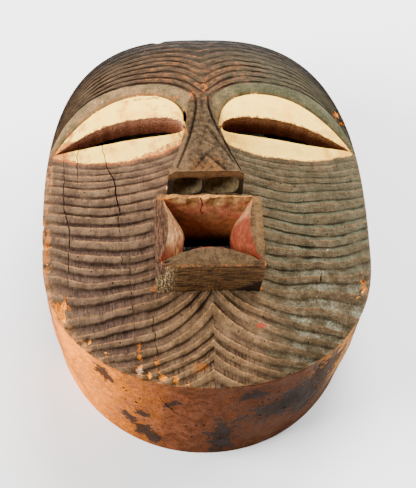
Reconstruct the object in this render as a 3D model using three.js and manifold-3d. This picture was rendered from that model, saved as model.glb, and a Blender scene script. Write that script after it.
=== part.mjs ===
// Carved mask with a grooved face, slit eyes, wedge nose and square funnel mouth.
// Units are millimetres. The mask lies face up on its back rim: x runs to the
// viewer's right, y from chin to forehead, z out of the face.
import * as THREE from 'three';
import { mergeVertices } from 'three/addons/utils/BufferGeometryUtils.js';
import Module from 'manifold-3d';

// Outline of the face edge, seen from the front.
const FACE_HALF_WIDTH = 136;
const WIDEST_Y = -44;
const CROWN_REACH = 218.5;
const CHIN_REACH = 123;
const CROWN_FULLNESS = 2.75;
const CHIN_FULLNESS = 2.15;

// Outline of the back rim.
const RIM_HALF_WIDTH = 127.5;
const RIM_WIDEST_Y = -40;
const RIM_CROWN_REACH = 207;
const RIM_CHIN_REACH = 134.5;
const RIM_CROWN_FULLNESS = 2.6;
const RIM_CHIN_FULLNESS = 2.05;
const WALL_SWELL = 2.5;

// Height of the face edge and of the midline above the rim, from chin to crown.
const EDGE_HEIGHTS = [[-168, 128], [-108, 118], [-45, 111], [40, 110], [118, 106], [175, 100]];
const MIDLINE_HEIGHTS = [
  [-168, 128], [-132, 145], [-94, 154], [-42, 160], [8, 160],
  [58, 156], [93, 150], [123, 140], [150, 125], [175, 100],
];
const CROSS_ROUNDING = 2.2;

// Forehead grooves, brow and eyes.
const TIP_Y = 55;
const FOREHEAD_GROOVES = 10;
const FOREHEAD_GROOVE_DEPTH = 1.4;
const FOREHEAD_GROOVE_SHARE = 0.4;
const BROW_ARCH = 52;
const BROW_FULLNESS = 6;
const BROW_DIP = 28;
const BROW_DIP_WIDTH = 17;
const BROW_BAND_RISE = 1.4;
const EYE_INNER_X = 14;
const EYE_OUTER_X = 127;
const EYE_SHIFT = 2.4;
const EYE_LINE_Y = 51.5;
const UPPER_LID_HEIGHT = 39.5;
const LOWER_LID_HEIGHT = 23.5;
const UPPER_LID_BULGE = 7;
const LOWER_LID_BULGE = 4.5;
const LID_CREASE = 1.6;
const SLIT_INNER_X = 16.3;
const SLIT_OUTER_X = 124;
const SLIT_RISE = 12.5;
const SLIT_FALL = 4;
const SLIT_DEPTH = 55;
const SLIT_END_DEPTH = 12;

// Cheek and chin grooves: [count below the eye, level at a quarter width, rise
// toward the midline, rise toward the edge].
const LOWER_GROOVES = 22;
const LOWER_GROOVE_DEPTH = 2.8;
const CHEEK_GROOVE_SHARE = 0.3;
const CHIN_GROOVE_SHARE = 0.55;
const MIDLINE_RISE_WIDTH = 26;
const LOWER_GUIDES = [
  [4, 1, 22, 16], [7.5, -32, 22, 18], [10, -61, 24, 19], [13, -94, 35, 11],
  [15, -119, 40, 0], [16, -129, 41, 0], [18, -149, 27, 0], [20, -165, 24, 0],
  [22, -178, 10.5, 0],
];

// Nose: a wedge that widens and rises from the brow to a flat underside.
const FEATURE_X = -3;
const NOSE_TOP_Y = 100;
const NOSE_BASE_Y = -9.5;
const NOSE_TOP_HEIGHT = 150;
const NOSE_BASE_HEIGHT = 198.5;
const NOSE_TOP_HALF = 8.5;
const NOSE_BASE_HALF = 30.3;
const NOSE_FLARE = 1.9;
const NOSE_CHAMFER = 4;
const NOSTRIL_HALF_WIDTH = 12;
const NOSTRIL_HALF_HEIGHT = 12;
const NOSTRIL_Z = 172;
const NOSTRIL_DEPTH = 18;
const SEPTUM_HALF = 1;

// Mouth: a square box that stands out from the face, hollowed as a funnel.
const MOUTH_FRONT_Z = 199;
const MOUTH_ROOT_Z = 120;
const MOUTH_TOP_Y = -30.2;
const MOUTH_TOP_SLANT = 1.5;
const MOUTH_BOTTOM_Y = -94;
const MOUTH_TOP_HALF = 40.8;
const MOUTH_BOTTOM_HALF = 43.2;

// Funnel sections: [height, top half width, bottom half width, bottom y, top y,
// swell of the side lips, swell of the lower lip].
const FUNNEL_SECTIONS = [
  [100, 19, 19, -66, -46, 0, 0], [152, 19, 19, -66, -46, 0, 0],
  [168, 22, 23, -71, -43, 4, 3], [180, 27.5, 28, -79, -39.5, 8, 8],
  [190, 31.5, 33, -86, -36.5, 8, 12], [199, 35.2, 37.2, -89.5, -33.5, 4.5, 11.5],
  [203, 37, 39, -91, -32, 3, 9],
];

// Hollow back.
const RIM_THICKNESS = 13;
const WALL_THICKNESS = 14;
const FACE_THICKNESS = 17;

const FACE_COLUMNS = 28;
const CAVITY_SECTORS = 40;
const CAVITY_RINGS = 6;

// Reads a smooth curve through a few [position, value] pairs.
function curve(pairs, at) {
  if (at <= pairs[0][0]) return pairs[0][1];
  const last = pairs.length - 1;
  if (at >= pairs[last][0]) return pairs[last][1];
  let i = 0;
  while (at > pairs[i + 1][0]) i += 1;
  const slope = (k) => (pairs[k + 1][1] - pairs[k][1]) / (pairs[k + 1][0] - pairs[k][0]);
  const tangent = (k) => {
    if (k === 0) return slope(0);
    if (k === last) return slope(last - 1);
    const a = slope(k - 1);
    const b = slope(k);
    return a * b <= 0 ? 0 : (2 * a * b) / (a + b);
  };
  const span = pairs[i + 1][0] - pairs[i][0];
  const u = (at - pairs[i][0]) / span;
  const h00 = (1 + 2 * u) * (1 - u) ** 2;
  const h10 = u * (1 - u) ** 2;
  const h01 = u * u * (3 - 2 * u);
  const h11 = u * u * (u - 1);
  return h00 * pairs[i][1] + h10 * span * tangent(i) + h01 * pairs[i + 1][1]
    + h11 * span * tangent(i + 1);
}

// Half width of an outline at height y on the face.
function outlineHalf(y, half, widest, up, down, fullUp, fullDown) {
  const reach = y > widest ? up : down;
  const fullness = y > widest ? fullUp : fullDown;
  const left = 1 - (Math.abs(y - widest) / reach) ** fullness;
  return half * Math.max(left, 0) ** (1 / fullness);
}

function faceHalf(y) {
  return outlineHalf(y, FACE_HALF_WIDTH, WIDEST_Y, CROWN_REACH, CHIN_REACH,
    CROWN_FULLNESS, CHIN_FULLNESS);
}

// Crown part of the face outline as y over x.
function crownY(x) {
  const left = 1 - (Math.abs(x) / FACE_HALF_WIDTH) ** CROWN_FULLNESS;
  return WIDEST_Y + CROWN_REACH * Math.max(left, 0) ** (1 / CROWN_FULLNESS);
}

// Smooth form of the face without its carving.
function dome(x, y) {
  const edge = curve(EDGE_HEIGHTS, y);
  const half = Math.max(faceHalf(y), 1e-6);
  const out = Math.min(Math.abs(x) / half, 1);
  return edge + (curve(MIDLINE_HEIGHTS, y) - edge) * (1 - out ** CROSS_ROUNDING);
}

// A leaf profile, 0 at both ends and 1 at the peak, blunt at its start.
function leaf(u, peak, bluntness, taper) {
  if (u <= 0 || u >= 1) return 0;
  if (u < peak) return (1 - ((peak - u) / peak) ** bluntness) ** (1 / bluntness);
  return 1 - ((u - peak) / (1 - peak)) ** taper;
}

const TIP_X = faceHalf(TIP_Y);

// Distance from the midline of the eyes, which sits a little to the left.
function fromNose(x) {
  return Math.abs(x + EYE_SHIFT * Math.max(0, 1 - Math.abs(x) / TIP_X));
}

function along(x) {
  return (fromNose(x) - EYE_INNER_X) / (EYE_OUTER_X - EYE_INNER_X);
}

function browTop(x) {
  const a = Math.min(Math.abs(x) / TIP_X, 1);
  return TIP_Y + BROW_ARCH * (1 - a ** BROW_FULLNESS)
    - BROW_DIP * Math.exp(-Math.abs(x) / BROW_DIP_WIDTH);
}

function upperLid(x) {
  const inner = Math.max(0, 1 - fromNose(x) / EYE_INNER_X);
  return EYE_LINE_Y + 1.5 + UPPER_LID_HEIGHT * leaf(along(x), 0.4, 2.5, 2) + 16 * inner;
}

function lowerLid(x) {
  const inner = Math.max(0, 1 - fromNose(x) / EYE_INNER_X);
  return EYE_LINE_Y - 1.5 - LOWER_LID_HEIGHT * leaf(along(x), 0.42, 2.2, 2.2) + 8 * inner;
}

function lowerRow(count, x) {
  const parts = [1, 2, 3].map((k) => curve(LOWER_GUIDES.map((g) => [g[0], g[k]]), count));
  const outward = Math.max(0, (Math.abs(x) - 60) / 60);
  return parts[0] + parts[1] * Math.exp(-Math.abs(x) / MIDLINE_RISE_WIDTH)
    + parts[2] * outward ** 1.7;
}

// Rows of carving are counted from the crown: forehead grooves, then the brow
// band, the two lids, then the cheek and chin grooves.
const BROW_ROW = FOREHEAD_GROOVES;
const UPPER_LID_ROW = BROW_ROW + 1;
const LOWER_LID_ROW = UPPER_LID_ROW + 2;
const CHIN_ROW = LOWER_LID_ROW + LOWER_GROOVES;

function rowY(row, x) {
  const mix = (a, b, u) => a + (b - a) * u;
  if (row <= BROW_ROW) {
    return mix(crownY(x), browTop(x), row / BROW_ROW);
  }
  if (row <= UPPER_LID_ROW) {
    return mix(browTop(x), upperLid(x), row - BROW_ROW);
  }
  if (row <= LOWER_LID_ROW) {
    return mix(upperLid(x), lowerLid(x), (row - UPPER_LID_ROW) / 2);
  }
  const count = row - LOWER_LID_ROW;
  if (count < LOWER_GUIDES[0][0]) {
    const first = LOWER_GUIDES[0][0];
    return mix(lowerLid(x), lowerRow(first, x), count / first);
  }
  return lowerRow(count, x);
}

// Where a row of carving meets the edge of the face.
function rowEnd(row) {
  if (row <= BROW_ROW) return TIP_X;
  let inside = 0;
  let outside = FACE_HALF_WIDTH + 1;
  for (let i = 0; i < 50; i += 1) {
    const x = (inside + outside) / 2;
    if (x < faceHalf(rowY(row, x))) inside = x;
    else outside = x;
  }
  return inside;
}

function smooth(low, high, value) {
  const u = Math.min(Math.max((value - low) / (high - low), 0), 1);
  return u * u * (3 - 2 * u);
}

// Share of a row taken by its groove: wider toward the chin, most on the left.
function grooveShare(row, u) {
  if (row < BROW_ROW) return FOREHEAD_GROOVE_SHARE;
  const down = smooth(5, 12, row - LOWER_LID_ROW);
  return CHEEK_GROOVE_SHARE + (CHIN_GROOVE_SHARE - CHEEK_GROOVE_SHARE) * down
    + 0.08 * down * Math.max(0, -u);
}

// Lines of carving from crown to chin. A groove has three: the crest of the band
// above it, the lower edge of that band, and the bottom of the groove.
function carvingLines() {
  const lines = [];
  const groove = (row) => [0, 1, 2].map((step) => ({ row, step }));
  for (let k = 0; k < FOREHEAD_GROOVES; k += 1) lines.push(...groove(k));
  for (const u of [0, 0.2, 0.55, 0.9, 1]) lines.push({ row: BROW_ROW + u });
  for (const u of [0.12, 0.3, 0.6, 0.85, 1.15, 1.45, 1.7, 1.9]) {
    lines.push({ row: UPPER_LID_ROW + u });
  }
  for (let k = 0; k < LOWER_GROOVES; k += 1) lines.push(...groove(LOWER_LID_ROW + k));
  lines.push({ row: CHIN_ROW });
  return lines;
}

// Row number of a line at u, a share of the way from the midline to either side.
function rowOf(line, u) {
  if (line.step === undefined) return line.row;
  const start = 1 - grooveShare(line.row, u);
  return line.row + [0, start - 0.02, start + 0.1][line.step];
}

// Carving laid over the smooth form, as a height in millimetres.
function carving(line, row, x) {
  const a = Math.min(Math.max(along(x), 0), 1);
  if (row < BROW_ROW) {
    const fade = Math.min(1, (1 - Math.abs(x) / TIP_X) * 9);
    return [0.35, 0, -FOREHEAD_GROOVE_DEPTH][line.step] * fade;
  }
  if (row <= UPPER_LID_ROW) {
    const band = row - BROW_ROW;
    const rise = BROW_BAND_RISE * Math.sin(Math.PI * Math.min(1, band * 1.1));
    return rise - LID_CREASE * (band > 0.95 && a > 0 ? 1 : 0);
  }
  if (row < LOWER_LID_ROW) {
    const body = leaf(along(x), 0.42, 2.4, 1.6);
    const down = (row - UPPER_LID_ROW) / 2;
    if (down < 0.55) return UPPER_LID_BULGE * body * Math.min(1, Math.sqrt(down / 0.3));
    return LOWER_LID_BULGE * body * Math.min(1, (1 - down) / 0.25);
  }
  if (row === CHIN_ROW) return 0;
  const deep = 0.3 + 0.7 * smooth(0.5, 6, row - LOWER_LID_ROW);
  return [0.6, 0, -LOWER_GROOVE_DEPTH][line.step] * deep;
}

function rimPoint(angle) {
  const up = Math.sin(angle) > 0;
  const full = up ? RIM_CROWN_FULLNESS : RIM_CHIN_FULLNESS;
  const reach = up ? RIM_CROWN_REACH : RIM_CHIN_REACH;
  const c = Math.abs(Math.cos(angle)) ** (2 / full) * Math.sign(Math.cos(angle));
  const s = Math.abs(Math.sin(angle)) ** (2 / full) * Math.sign(Math.sin(angle));
  return [RIM_HALF_WIDTH * c, RIM_WIDEST_Y + reach * s];
}

// The rim point under a point of the face edge, by its direction.
function rimUnder(x, y) {
  const up = y > WIDEST_Y;
  const full = up ? CROWN_FULLNESS : CHIN_FULLNESS;
  const reach = up ? CROWN_REACH : CHIN_REACH;
  const c = (Math.abs(x) / FACE_HALF_WIDTH) ** (full / 2);
  const s = (Math.abs(y - WIDEST_Y) / reach) ** (full / 2);
  return rimPoint(Math.atan2(s * (up ? 1 : -1), c * Math.sign(x)));
}

// Collects points and triangles of one closed skin.
class Skin {
  constructor() {
    this.points = [];
    this.faces = [];
  }

  point(x, y, z) {
    this.points.push(x, y, z);
    return this.points.length / 3 - 1;
  }

  quad(a, b, c, d) {
    this.faces.push(a, b, c, a, c, d);
  }

  strip(lower, upper) {
    for (let i = 0; i < lower.length - 1; i += 1) {
      this.quad(lower[i], lower[i + 1], upper[i + 1], upper[i]);
    }
  }

  fan(ring, tip) {
    for (let i = 0; i < ring.length; i += 1) {
      this.faces.push(ring[i], ring[(i + 1) % ring.length], tip);
    }
  }

  geometry() {
    const raw = new THREE.BufferGeometry();
    raw.setAttribute('position', new THREE.Float32BufferAttribute(this.points, 3));
    raw.setIndex(this.faces);
    return mergeVertices(raw, 1e-3);
  }
}

// The whole block of the mask before it is hollowed.
function maskBlock() {
  const skin = new Skin();
  const lines = carvingLines();
  const tipZ = dome(TIP_X, TIP_Y);
  const tips = [skin.point(-TIP_X, TIP_Y, tipZ), skin.point(TIP_X, TIP_Y, tipZ)];
  const chin = skin.point(0, WIDEST_Y - CHIN_REACH, dome(0, WIDEST_Y - CHIN_REACH));
  const grid = lines.map((line, i) => {
    const points = [];
    if (line.row === CHIN_ROW) return Array(FACE_COLUMNS + 1).fill(chin);
    for (let j = 0; j <= FACE_COLUMNS; j += 1) {
      const u = (2 * j) / FACE_COLUMNS - 1;
      const row = rowOf(line, u);
      const x = rowEnd(row) * u;
      const y = rowY(row, x);
      const atEnd = Math.abs(u) === 1;
      const height = dome(x, y) + (atEnd || i === 0 ? 0 : carving(line, row, x));
      if (atEnd && row <= BROW_ROW) points.push(tips[u > 0 ? 1 : 0]);
      else points.push(skin.point(x, y, height));
    }
    return points;
  });
  for (let i = 0; i < grid.length - 1; i += 1) skin.strip(grid[i + 1], grid[i]);

  // The edge of the face runs over the crown, down one side to the chin and back.
  const lower = lines.map((line, i) => i).filter((i) => lines[i].row > BROW_ROW);
  const crown = grid[0].slice().reverse();
  const left = lower.map((i) => grid[i][0]);
  const right = lower.map((i) => grid[i][FACE_COLUMNS]).reverse();
  const edge = [...crown, ...left.slice(0, -1), ...right];
  const wall = (share) => edge.map((p) => {
    const x = skin.points[3 * p];
    const y = skin.points[3 * p + 1];
    const z = skin.points[3 * p + 2];
    const [rx, ry] = rimUnder(x || 1e-6, y);
    const swell = 1 + (WALL_SWELL * Math.sin(Math.PI * share)) / FACE_HALF_WIDTH;
    return skin.point((x + (rx - x) * share) * swell,
      WIDEST_Y + (y + (ry - y) * share - WIDEST_Y) * swell, z * (1 - share));
  });
  const middle = wall(0.5);
  const rim = wall(1);
  const close = (ring) => [...ring, ring[0]];
  skin.strip(close(middle), close(edge));
  skin.strip(close(rim), close(middle));
  const centre = skin.point(0, 0, 0);
  skin.fan(rim.slice().reverse(), centre);
  return skin.geometry();
}

// Space behind the face, open at the back.
function cavity() {
  const skin = new Skin();
  const rings = [];
  const ring = (scaleIn, z) => {
    const line = [];
    for (let k = 0; k < CAVITY_SECTORS; k += 1) {
      const [x, y] = rimPoint((2 * Math.PI * k) / CAVITY_SECTORS);
      const px = x * scaleIn.x;
      const py = RIM_WIDEST_Y + (y - RIM_WIDEST_Y) * scaleIn.y;
      line.push(skin.point(px, py, z(px, py)));
    }
    return line;
  };
  const inset = (gap) => ({
    x: 1 - gap / RIM_HALF_WIDTH,
    y: 1 - gap / RIM_CROWN_REACH * 1.25,
  });
  rings.push(ring(inset(RIM_THICKNESS), () => -10));
  rings.push(ring(inset(RIM_THICKNESS), () => 0));
  rings.push(ring(inset(WALL_THICKNESS), () => 70));
  for (let k = 0; k < CAVITY_RINGS; k += 1) {
    const share = Math.cos((0.5 * Math.PI * (k + 0.6)) / (CAVITY_RINGS + 0.4));
    const gap = inset(WALL_THICKNESS + 1);
    rings.push(ring({ x: gap.x * share, y: gap.y * share },
      (x, y) => Math.min(dome(x, y) - FACE_THICKNESS, 70 + 75 * Math.sqrt(1 - share ** 2) + 14)));
  }
  const closed = rings.map((r) => [...r, r[0]]);
  for (let k = 0; k < closed.length - 1; k += 1) skin.strip(closed[k], closed[k + 1]);
  const top = skin.point(0, RIM_WIDEST_Y, dome(0, RIM_WIDEST_Y) - FACE_THICKNESS);
  const bottom = skin.point(0, RIM_WIDEST_Y, -10);
  skin.fan(rings[rings.length - 1], top);
  skin.fan(rings[0].slice().reverse(), bottom);
  return skin.geometry();
}

// A solid made by joining closed sections of equal point count.
function loft(sections) {
  const skin = new Skin();
  const lines = sections.map((section) => section.map((p) => skin.point(...p)));
  for (let k = 0; k < lines.length - 1; k += 1) {
    skin.strip([...lines[k], lines[k][0]], [...lines[k + 1], lines[k + 1][0]]);
  }
  const middle = (section) => [0, 1, 2].map(
    (axis) => section.reduce((sum, p) => sum + p[axis], 0) / section.length,
  );
  skin.fan(lines[0].slice().reverse(), skin.point(...middle(sections[0])));
  skin.fan(lines[lines.length - 1], skin.point(...middle(sections[sections.length - 1])));
  return skin.geometry();
}

function nose() {
  const steps = 7;
  const sections = [];
  for (let k = 0; k <= steps; k += 1) {
    const u = k / steps;
    const y = NOSE_TOP_Y + (NOSE_BASE_Y - NOSE_TOP_Y) * u;
    const half = NOSE_TOP_HALF + (NOSE_BASE_HALF - NOSE_TOP_HALF) * u ** NOSE_FLARE;
    const front = NOSE_TOP_HEIGHT + (NOSE_BASE_HEIGHT - NOSE_TOP_HEIGHT) * u;
    const cut = Math.min(NOSE_CHAMFER, half * 0.45);
    const root = 128;
    const profile = [
      [-half - 1, root], [half + 1, root], [half, front - 1.5 - 2.5 * u],
      [half - cut, front - 0.8], [0, front], [-half + cut, front - 0.8],
      [-half, front - 1.5 - 2.5 * u],
    ];
    sections.push(profile.map(([x, z]) => [FEATURE_X + x, y, z]));
  }
  return loft(sections);
}

// One nostril: an oval hollow that narrows upward into the nose.
function nostril(side) {
  const points = 12;
  const middle = FEATURE_X + side * (SEPTUM_HALF + NOSTRIL_HALF_WIDTH);
  const section = (y, size) => {
    const ring = [];
    for (let k = 0; k < points; k += 1) {
      const angle = (2 * Math.PI * k) / points;
      const square = (v) => Math.sign(v) * Math.abs(v) ** 0.6;
      ring.push([
        middle - side * (1 - size) * 5 + NOSTRIL_HALF_WIDTH * size * square(Math.cos(angle)),
        y,
        NOSTRIL_Z + NOSTRIL_HALF_HEIGHT * size * square(Math.sin(angle)),
      ]);
    }
    return ring;
  };
  return loft([
    section(NOSE_BASE_Y + NOSTRIL_DEPTH, 0.45),
    section(NOSE_BASE_Y + NOSTRIL_DEPTH * 0.5, 0.85),
    section(NOSE_BASE_Y - 3, 1),
  ]);
}

function mouthBox() {
  const section = (z, grow) => [
    [FEATURE_X - MOUTH_BOTTOM_HALF - grow, MOUTH_BOTTOM_Y - grow, z],
    [FEATURE_X + MOUTH_BOTTOM_HALF + grow, MOUTH_BOTTOM_Y - grow, z],
    [FEATURE_X + MOUTH_TOP_HALF + grow, MOUTH_TOP_Y - MOUTH_TOP_SLANT + grow, z],
    [FEATURE_X - MOUTH_TOP_HALF - grow, MOUTH_TOP_Y + MOUTH_TOP_SLANT + grow, z],
  ];
  return loft([
    section(MOUTH_ROOT_Z, -2),
    section(MOUTH_FRONT_Z - 2, 0),
    section(MOUTH_FRONT_Z, -1),
  ]);
}

// The funnel of the mouth: a square hollow whose side and lower walls swell
// inward as full lips before they drop to a small throat.
function funnel() {
  const perSide = 6;
  const sections = FUNNEL_SECTIONS.map(([z, topHalf, lowHalf, bottom, top, sideSwell, lowSwell]) => {
    const corners = [[-lowHalf, bottom], [lowHalf, bottom], [topHalf, top], [-topHalf, top]];
    const inward = [[0, lowSwell], [-sideSwell, 0], [0, 0], [sideSwell, 0]];
    const ring = [];
    corners.forEach(([x, y], side) => {
      const [nx, ny] = corners[(side + 1) % 4];
      for (let k = 0; k < perSide; k += 1) {
        const u = k / perSide;
        const swell = Math.sin(Math.PI * u);
        ring.push([
          FEATURE_X + x + (nx - x) * u + inward[side][0] * swell,
          y + (ny - y) * u + inward[side][1] * swell,
          z,
        ]);
      }
    });
    return ring;
  });
  return loft(sections);
}

// The slit between the lids, cut through the face and shallow at both corners.
function eyeSlit(side) {
  const steps = 9;
  const upper = [];
  const lower = [];
  for (let k = 0; k <= steps; k += 1) {
    const u = k / steps;
    const out = SLIT_INNER_X + (SLIT_OUTER_X - SLIT_INNER_X) * u;
    const x = side * out - EYE_SHIFT * (1 - out / TIP_X);
    const open = Math.max(leaf(u, 0.5, 1.7, 2), 0);
    upper.push([x, EYE_LINE_Y + 2 - 1.6 * u + (SLIT_RISE - 1) * open]);
    lower.push([x, EYE_LINE_Y - 2 + 1.6 * u - SLIT_FALL * open]);
  }
  const ring = side > 0 ? [...lower, ...upper.reverse()] : [...upper, ...lower.reverse()];
  const depth = (x) => {
    const u = (fromNose(x) - SLIT_INNER_X) / (SLIT_OUTER_X - SLIT_INNER_X);
    return SLIT_END_DEPTH + (SLIT_DEPTH - SLIT_END_DEPTH)
      * Math.sin(Math.PI * Math.min(Math.max(u, 0), 1));
  };
  return loft([
    ring.map(([x, y]) => [x, y, dome(x, EYE_LINE_Y) - depth(x)]),
    ring.map(([x, y]) => [x, y, 200]),
  ]);
}

const wasm = await Module();
wasm.setup();

function solid(geometry) {
  const bare = geometry.clone();
  bare.deleteAttribute('normal');
  bare.deleteAttribute('uv');
  const merged = mergeVertices(bare, 1e-3);
  const index = Array.from(merged.index.array);
  const kept = [];
  for (let i = 0; i < index.length; i += 3) {
    const [a, b, c] = index.slice(i, i + 3);
    if (a !== b && b !== c && c !== a) kept.push(a, b, c);
  }
  return new wasm.Manifold(new wasm.Mesh({
    numProp: 3,
    vertProperties: new Float32Array(merged.attributes.position.array),
    triVerts: new Uint32Array(kept),
  }));
}

function geometryOf(manifold) {
  const mesh = manifold.getMesh();
  const out = new THREE.BufferGeometry();
  out.setAttribute('position', new THREE.BufferAttribute(new Float32Array(mesh.vertProperties), 3));
  out.setIndex(Array.from(mesh.triVerts));
  out.computeVertexNormals();
  return out;
}

let body = solid(maskBlock());
body = body.add(solid(nose())).add(solid(mouthBox()));
body = body.subtract(solid(cavity()));
body = body.subtract(solid(funnel()));
for (const side of [-1, 1]) {
  body = body.subtract(solid(nostril(side)));
  body = body.subtract(solid(eyeSlit(side)));
}

const wood = new THREE.MeshStandardMaterial({ color: 0x6b5a48, roughness: 0.8 });
const mask = new THREE.Mesh(geometryOf(body), wood);
mask.name = 'mask';

const group = new THREE.Group();
group.name = 'carved_mask';
group.add(mask);
export default group;
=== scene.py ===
# %% [markdown]
# # A carved mask, lying face up
#
# The mask is one block of wood. Its domed face is cut all over with curved
# grooves, two narrow eyes look out between white lids, the nose is a wedge, and
# the mouth stands out as a square funnel. The CAD frame already holds this form
# with few, flat facets. This script carves the same form again, finely enough to
# show tool marks, cracks and worn edges, and then paints it.

from math import radians

import bpy
import numpy as np
from mathutils import Matrix, Vector


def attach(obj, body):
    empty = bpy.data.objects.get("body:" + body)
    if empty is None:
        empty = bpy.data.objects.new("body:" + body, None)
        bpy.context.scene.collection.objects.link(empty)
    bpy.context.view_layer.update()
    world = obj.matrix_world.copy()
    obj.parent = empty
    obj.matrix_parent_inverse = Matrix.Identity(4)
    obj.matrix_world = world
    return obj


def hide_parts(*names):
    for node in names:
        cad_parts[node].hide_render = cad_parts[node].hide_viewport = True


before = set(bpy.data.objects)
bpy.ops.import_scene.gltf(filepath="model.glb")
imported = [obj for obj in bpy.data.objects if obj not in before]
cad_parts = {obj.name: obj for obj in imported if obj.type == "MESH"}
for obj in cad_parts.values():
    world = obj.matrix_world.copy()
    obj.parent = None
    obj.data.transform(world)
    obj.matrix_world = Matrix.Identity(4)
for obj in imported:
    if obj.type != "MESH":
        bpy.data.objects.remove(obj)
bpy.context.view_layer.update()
MM = 0.001

# %% [markdown]
# ## The camera
#
# The photograph shows the mask upright, seen from a little below the chin. Here
# the mask lies on its rim, so the camera looks down on it instead, tilted 26
# degrees from straight above toward the chin. The mask in the picture is also
# turned and leans a little, which is easier to say as a turn of the mask: the
# camera is placed in an upright frame first and then carried back with it.

# %% Camera
CAMERA_TILT = radians(26)
CAMERA_DISTANCE = 1600
MASK_TURN = 0.040
MASK_LEAN = 0.045
MASK_SHIFT = (-6.9, 1.5, 0)
AIM = Vector((0, -21.5, 90))
PHOTO_HEIGHT = 488
MM_PER_PIXEL = 0.841
PICTURE_SHIFT = (0.5, 2)  # in pixels of the photograph
SENSOR = 36


def millimetres(matrix):
    """The same placement with its shift turned from millimetres to metres."""
    scaled = matrix.copy()
    scaled.translation *= MM
    return scaled


upright = (
    Matrix.Translation(MASK_SHIFT)
    @ Matrix.Rotation(MASK_TURN, 4, "Z")
    @ Matrix.Rotation(MASK_LEAN, 4, "Y")
)
tilt = Matrix.Rotation(CAMERA_TILT, 4, "X")
eye = AIM + CAMERA_DISTANCE * (tilt.to_3x3() @ Vector((0, 0, 1)))
camera_data = bpy.data.cameras.new("camera")
camera_data.sensor_fit = "VERTICAL"
camera_data.sensor_height = SENSOR
camera_data.lens = CAMERA_DISTANCE / MM_PER_PIXEL / PHOTO_HEIGHT * SENSOR
camera_data.shift_x, camera_data.shift_y = (v / PHOTO_HEIGHT for v in PICTURE_SHIFT)
camera = bpy.data.objects.new("camera", camera_data)
camera.matrix_world = millimetres(upright.inverted() @ Matrix.Translation(eye) @ tilt)
bpy.context.collection.objects.link(camera)
bpy.context.scene.camera = camera
print("camera at", [round(v, 3) for v in camera.location], "lens", round(camera_data.lens))

# %% [markdown]
# ## Floor and light
#
# The mask was photographed on white, lit softly from the left. A large pale
# floor, a bright even world and three big soft lamps give that. The floor is stage,
# not part of the mask.

# %% Floor and lamps
FLOOR_SIZE = 8
FLOOR_LIGHTNESS = 0.95
WORLD_STRENGTH = 0.4
LAMP_SIZE = 1.6
LAMP_AIM = Vector((0, 0, 0.1))
LAMPS = {
    "key from the left": ((-2.4, -0.3, 1.7), 260),
    "soft light from above the forehead": ((0.5, 2.0, 2.1), 205),
    "fill from the upper right": ((2.1, 1.3, 1.7), 140),
}

half = FLOOR_SIZE / 2
floor_mesh = bpy.data.meshes.new("floor")
floor_mesh.from_pydata(
    [(-half, -half, 0), (half, -half, 0), (half, half, 0), (-half, half, 0)],
    [], [(0, 1, 2, 3)],
)
floor = bpy.data.objects.new("floor", floor_mesh)
bpy.context.collection.objects.link(floor)

pale = bpy.data.materials.new("pale floor")
pale.use_nodes = True
paper = pale.node_tree.nodes["Principled BSDF"].inputs
paper["Base Color"].default_value = (FLOOR_LIGHTNESS,) * 3 + (1,)
paper["Roughness"].default_value = 0.9
floor_mesh.materials.append(pale)

world = bpy.data.worlds.new("studio")
world.use_nodes = True
sky = world.node_tree.nodes["Background"].inputs
sky["Color"].default_value = (1, 1, 1, 1)
sky["Strength"].default_value = WORLD_STRENGTH
bpy.context.scene.world = world

for name, (place, power) in LAMPS.items():
    lamp = bpy.data.lights.new(name, "AREA")
    lamp.size, lamp.energy = LAMP_SIZE, power
    lit = bpy.data.objects.new(name, lamp)
    lit.location = place
    lit.rotation_euler = (LAMP_AIM - Vector(place)).to_track_quat("-Z", "Y").to_euler()
    bpy.context.collection.objects.link(lit)
print("floor", FLOOR_SIZE, "m wide,", len(LAMPS), "lamps")

# %% [markdown]
# ## The form of the block
#
# Seen from the front, the edge of the face is a full oval, rounder at the chin.
# Two half ovals with their own fullness describe it: an exponent of 2 gives an
# ellipse, and a larger one pushes the corners out. The height of that edge and of
# the midline above the rim are smooth curves, and the face swells between them.

# %% Sizes of the block, in millimetres
FACE_HALF_WIDTH = 136
WIDEST_Y = -44
CROWN_REACH = 218.5
CHIN_REACH = 123
CROWN_FULLNESS = 2.75
CHIN_FULLNESS = 2.15
RIM_HALF_WIDTH = 127.5
RIM_WIDEST_Y = -40
RIM_CROWN_REACH = 207
RIM_CHIN_REACH = 134.5
RIM_CROWN_FULLNESS = 2.6
RIM_CHIN_FULLNESS = 2.05
WALL_SWELL = 2.5
CROSS_ROUNDING = 2.2
EDGE_HEIGHTS = [(-168, 128), (-108, 118), (-45, 111), (40, 110), (118, 106), (175, 100)]
MIDLINE_HEIGHTS = [
    (-168, 128), (-132, 145), (-94, 154), (-42, 160), (8, 160),
    (58, 156), (93, 150), (123, 140), (150, 125), (175, 100),
]


def curve(pairs, at):
    """A smooth curve through (position, value) pairs.

    Cubic pieces meet with one slope at each pair: the harmonic mean of the slopes
    on both sides, or zero where they differ in sign, so the curve never overshoots.
    """
    p, v = np.array(pairs, float).T
    at = np.clip(at, p[0], p[-1])
    rise = np.diff(v) / np.diff(p)
    same = rise[:-1] * rise[1:] > 0
    total = np.where(same, rise[:-1] + rise[1:], 1)
    middle = np.where(same, 2 * rise[:-1] * rise[1:] / total, 0)
    tangent = np.concatenate([rise[:1], middle, rise[-1:]])
    i = np.clip(np.searchsorted(p, at, side="right") - 1, 0, len(p) - 2)
    span = p[i + 1] - p[i]
    u = (at - p[i]) / span
    return (
        (1 + 2 * u) * (1 - u) ** 2 * v[i]
        + u * (1 - u) ** 2 * span * tangent[i]
        + u * u * (3 - 2 * u) * v[i + 1]
        + u * u * (u - 1) * span * tangent[i + 1]
    )


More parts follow.
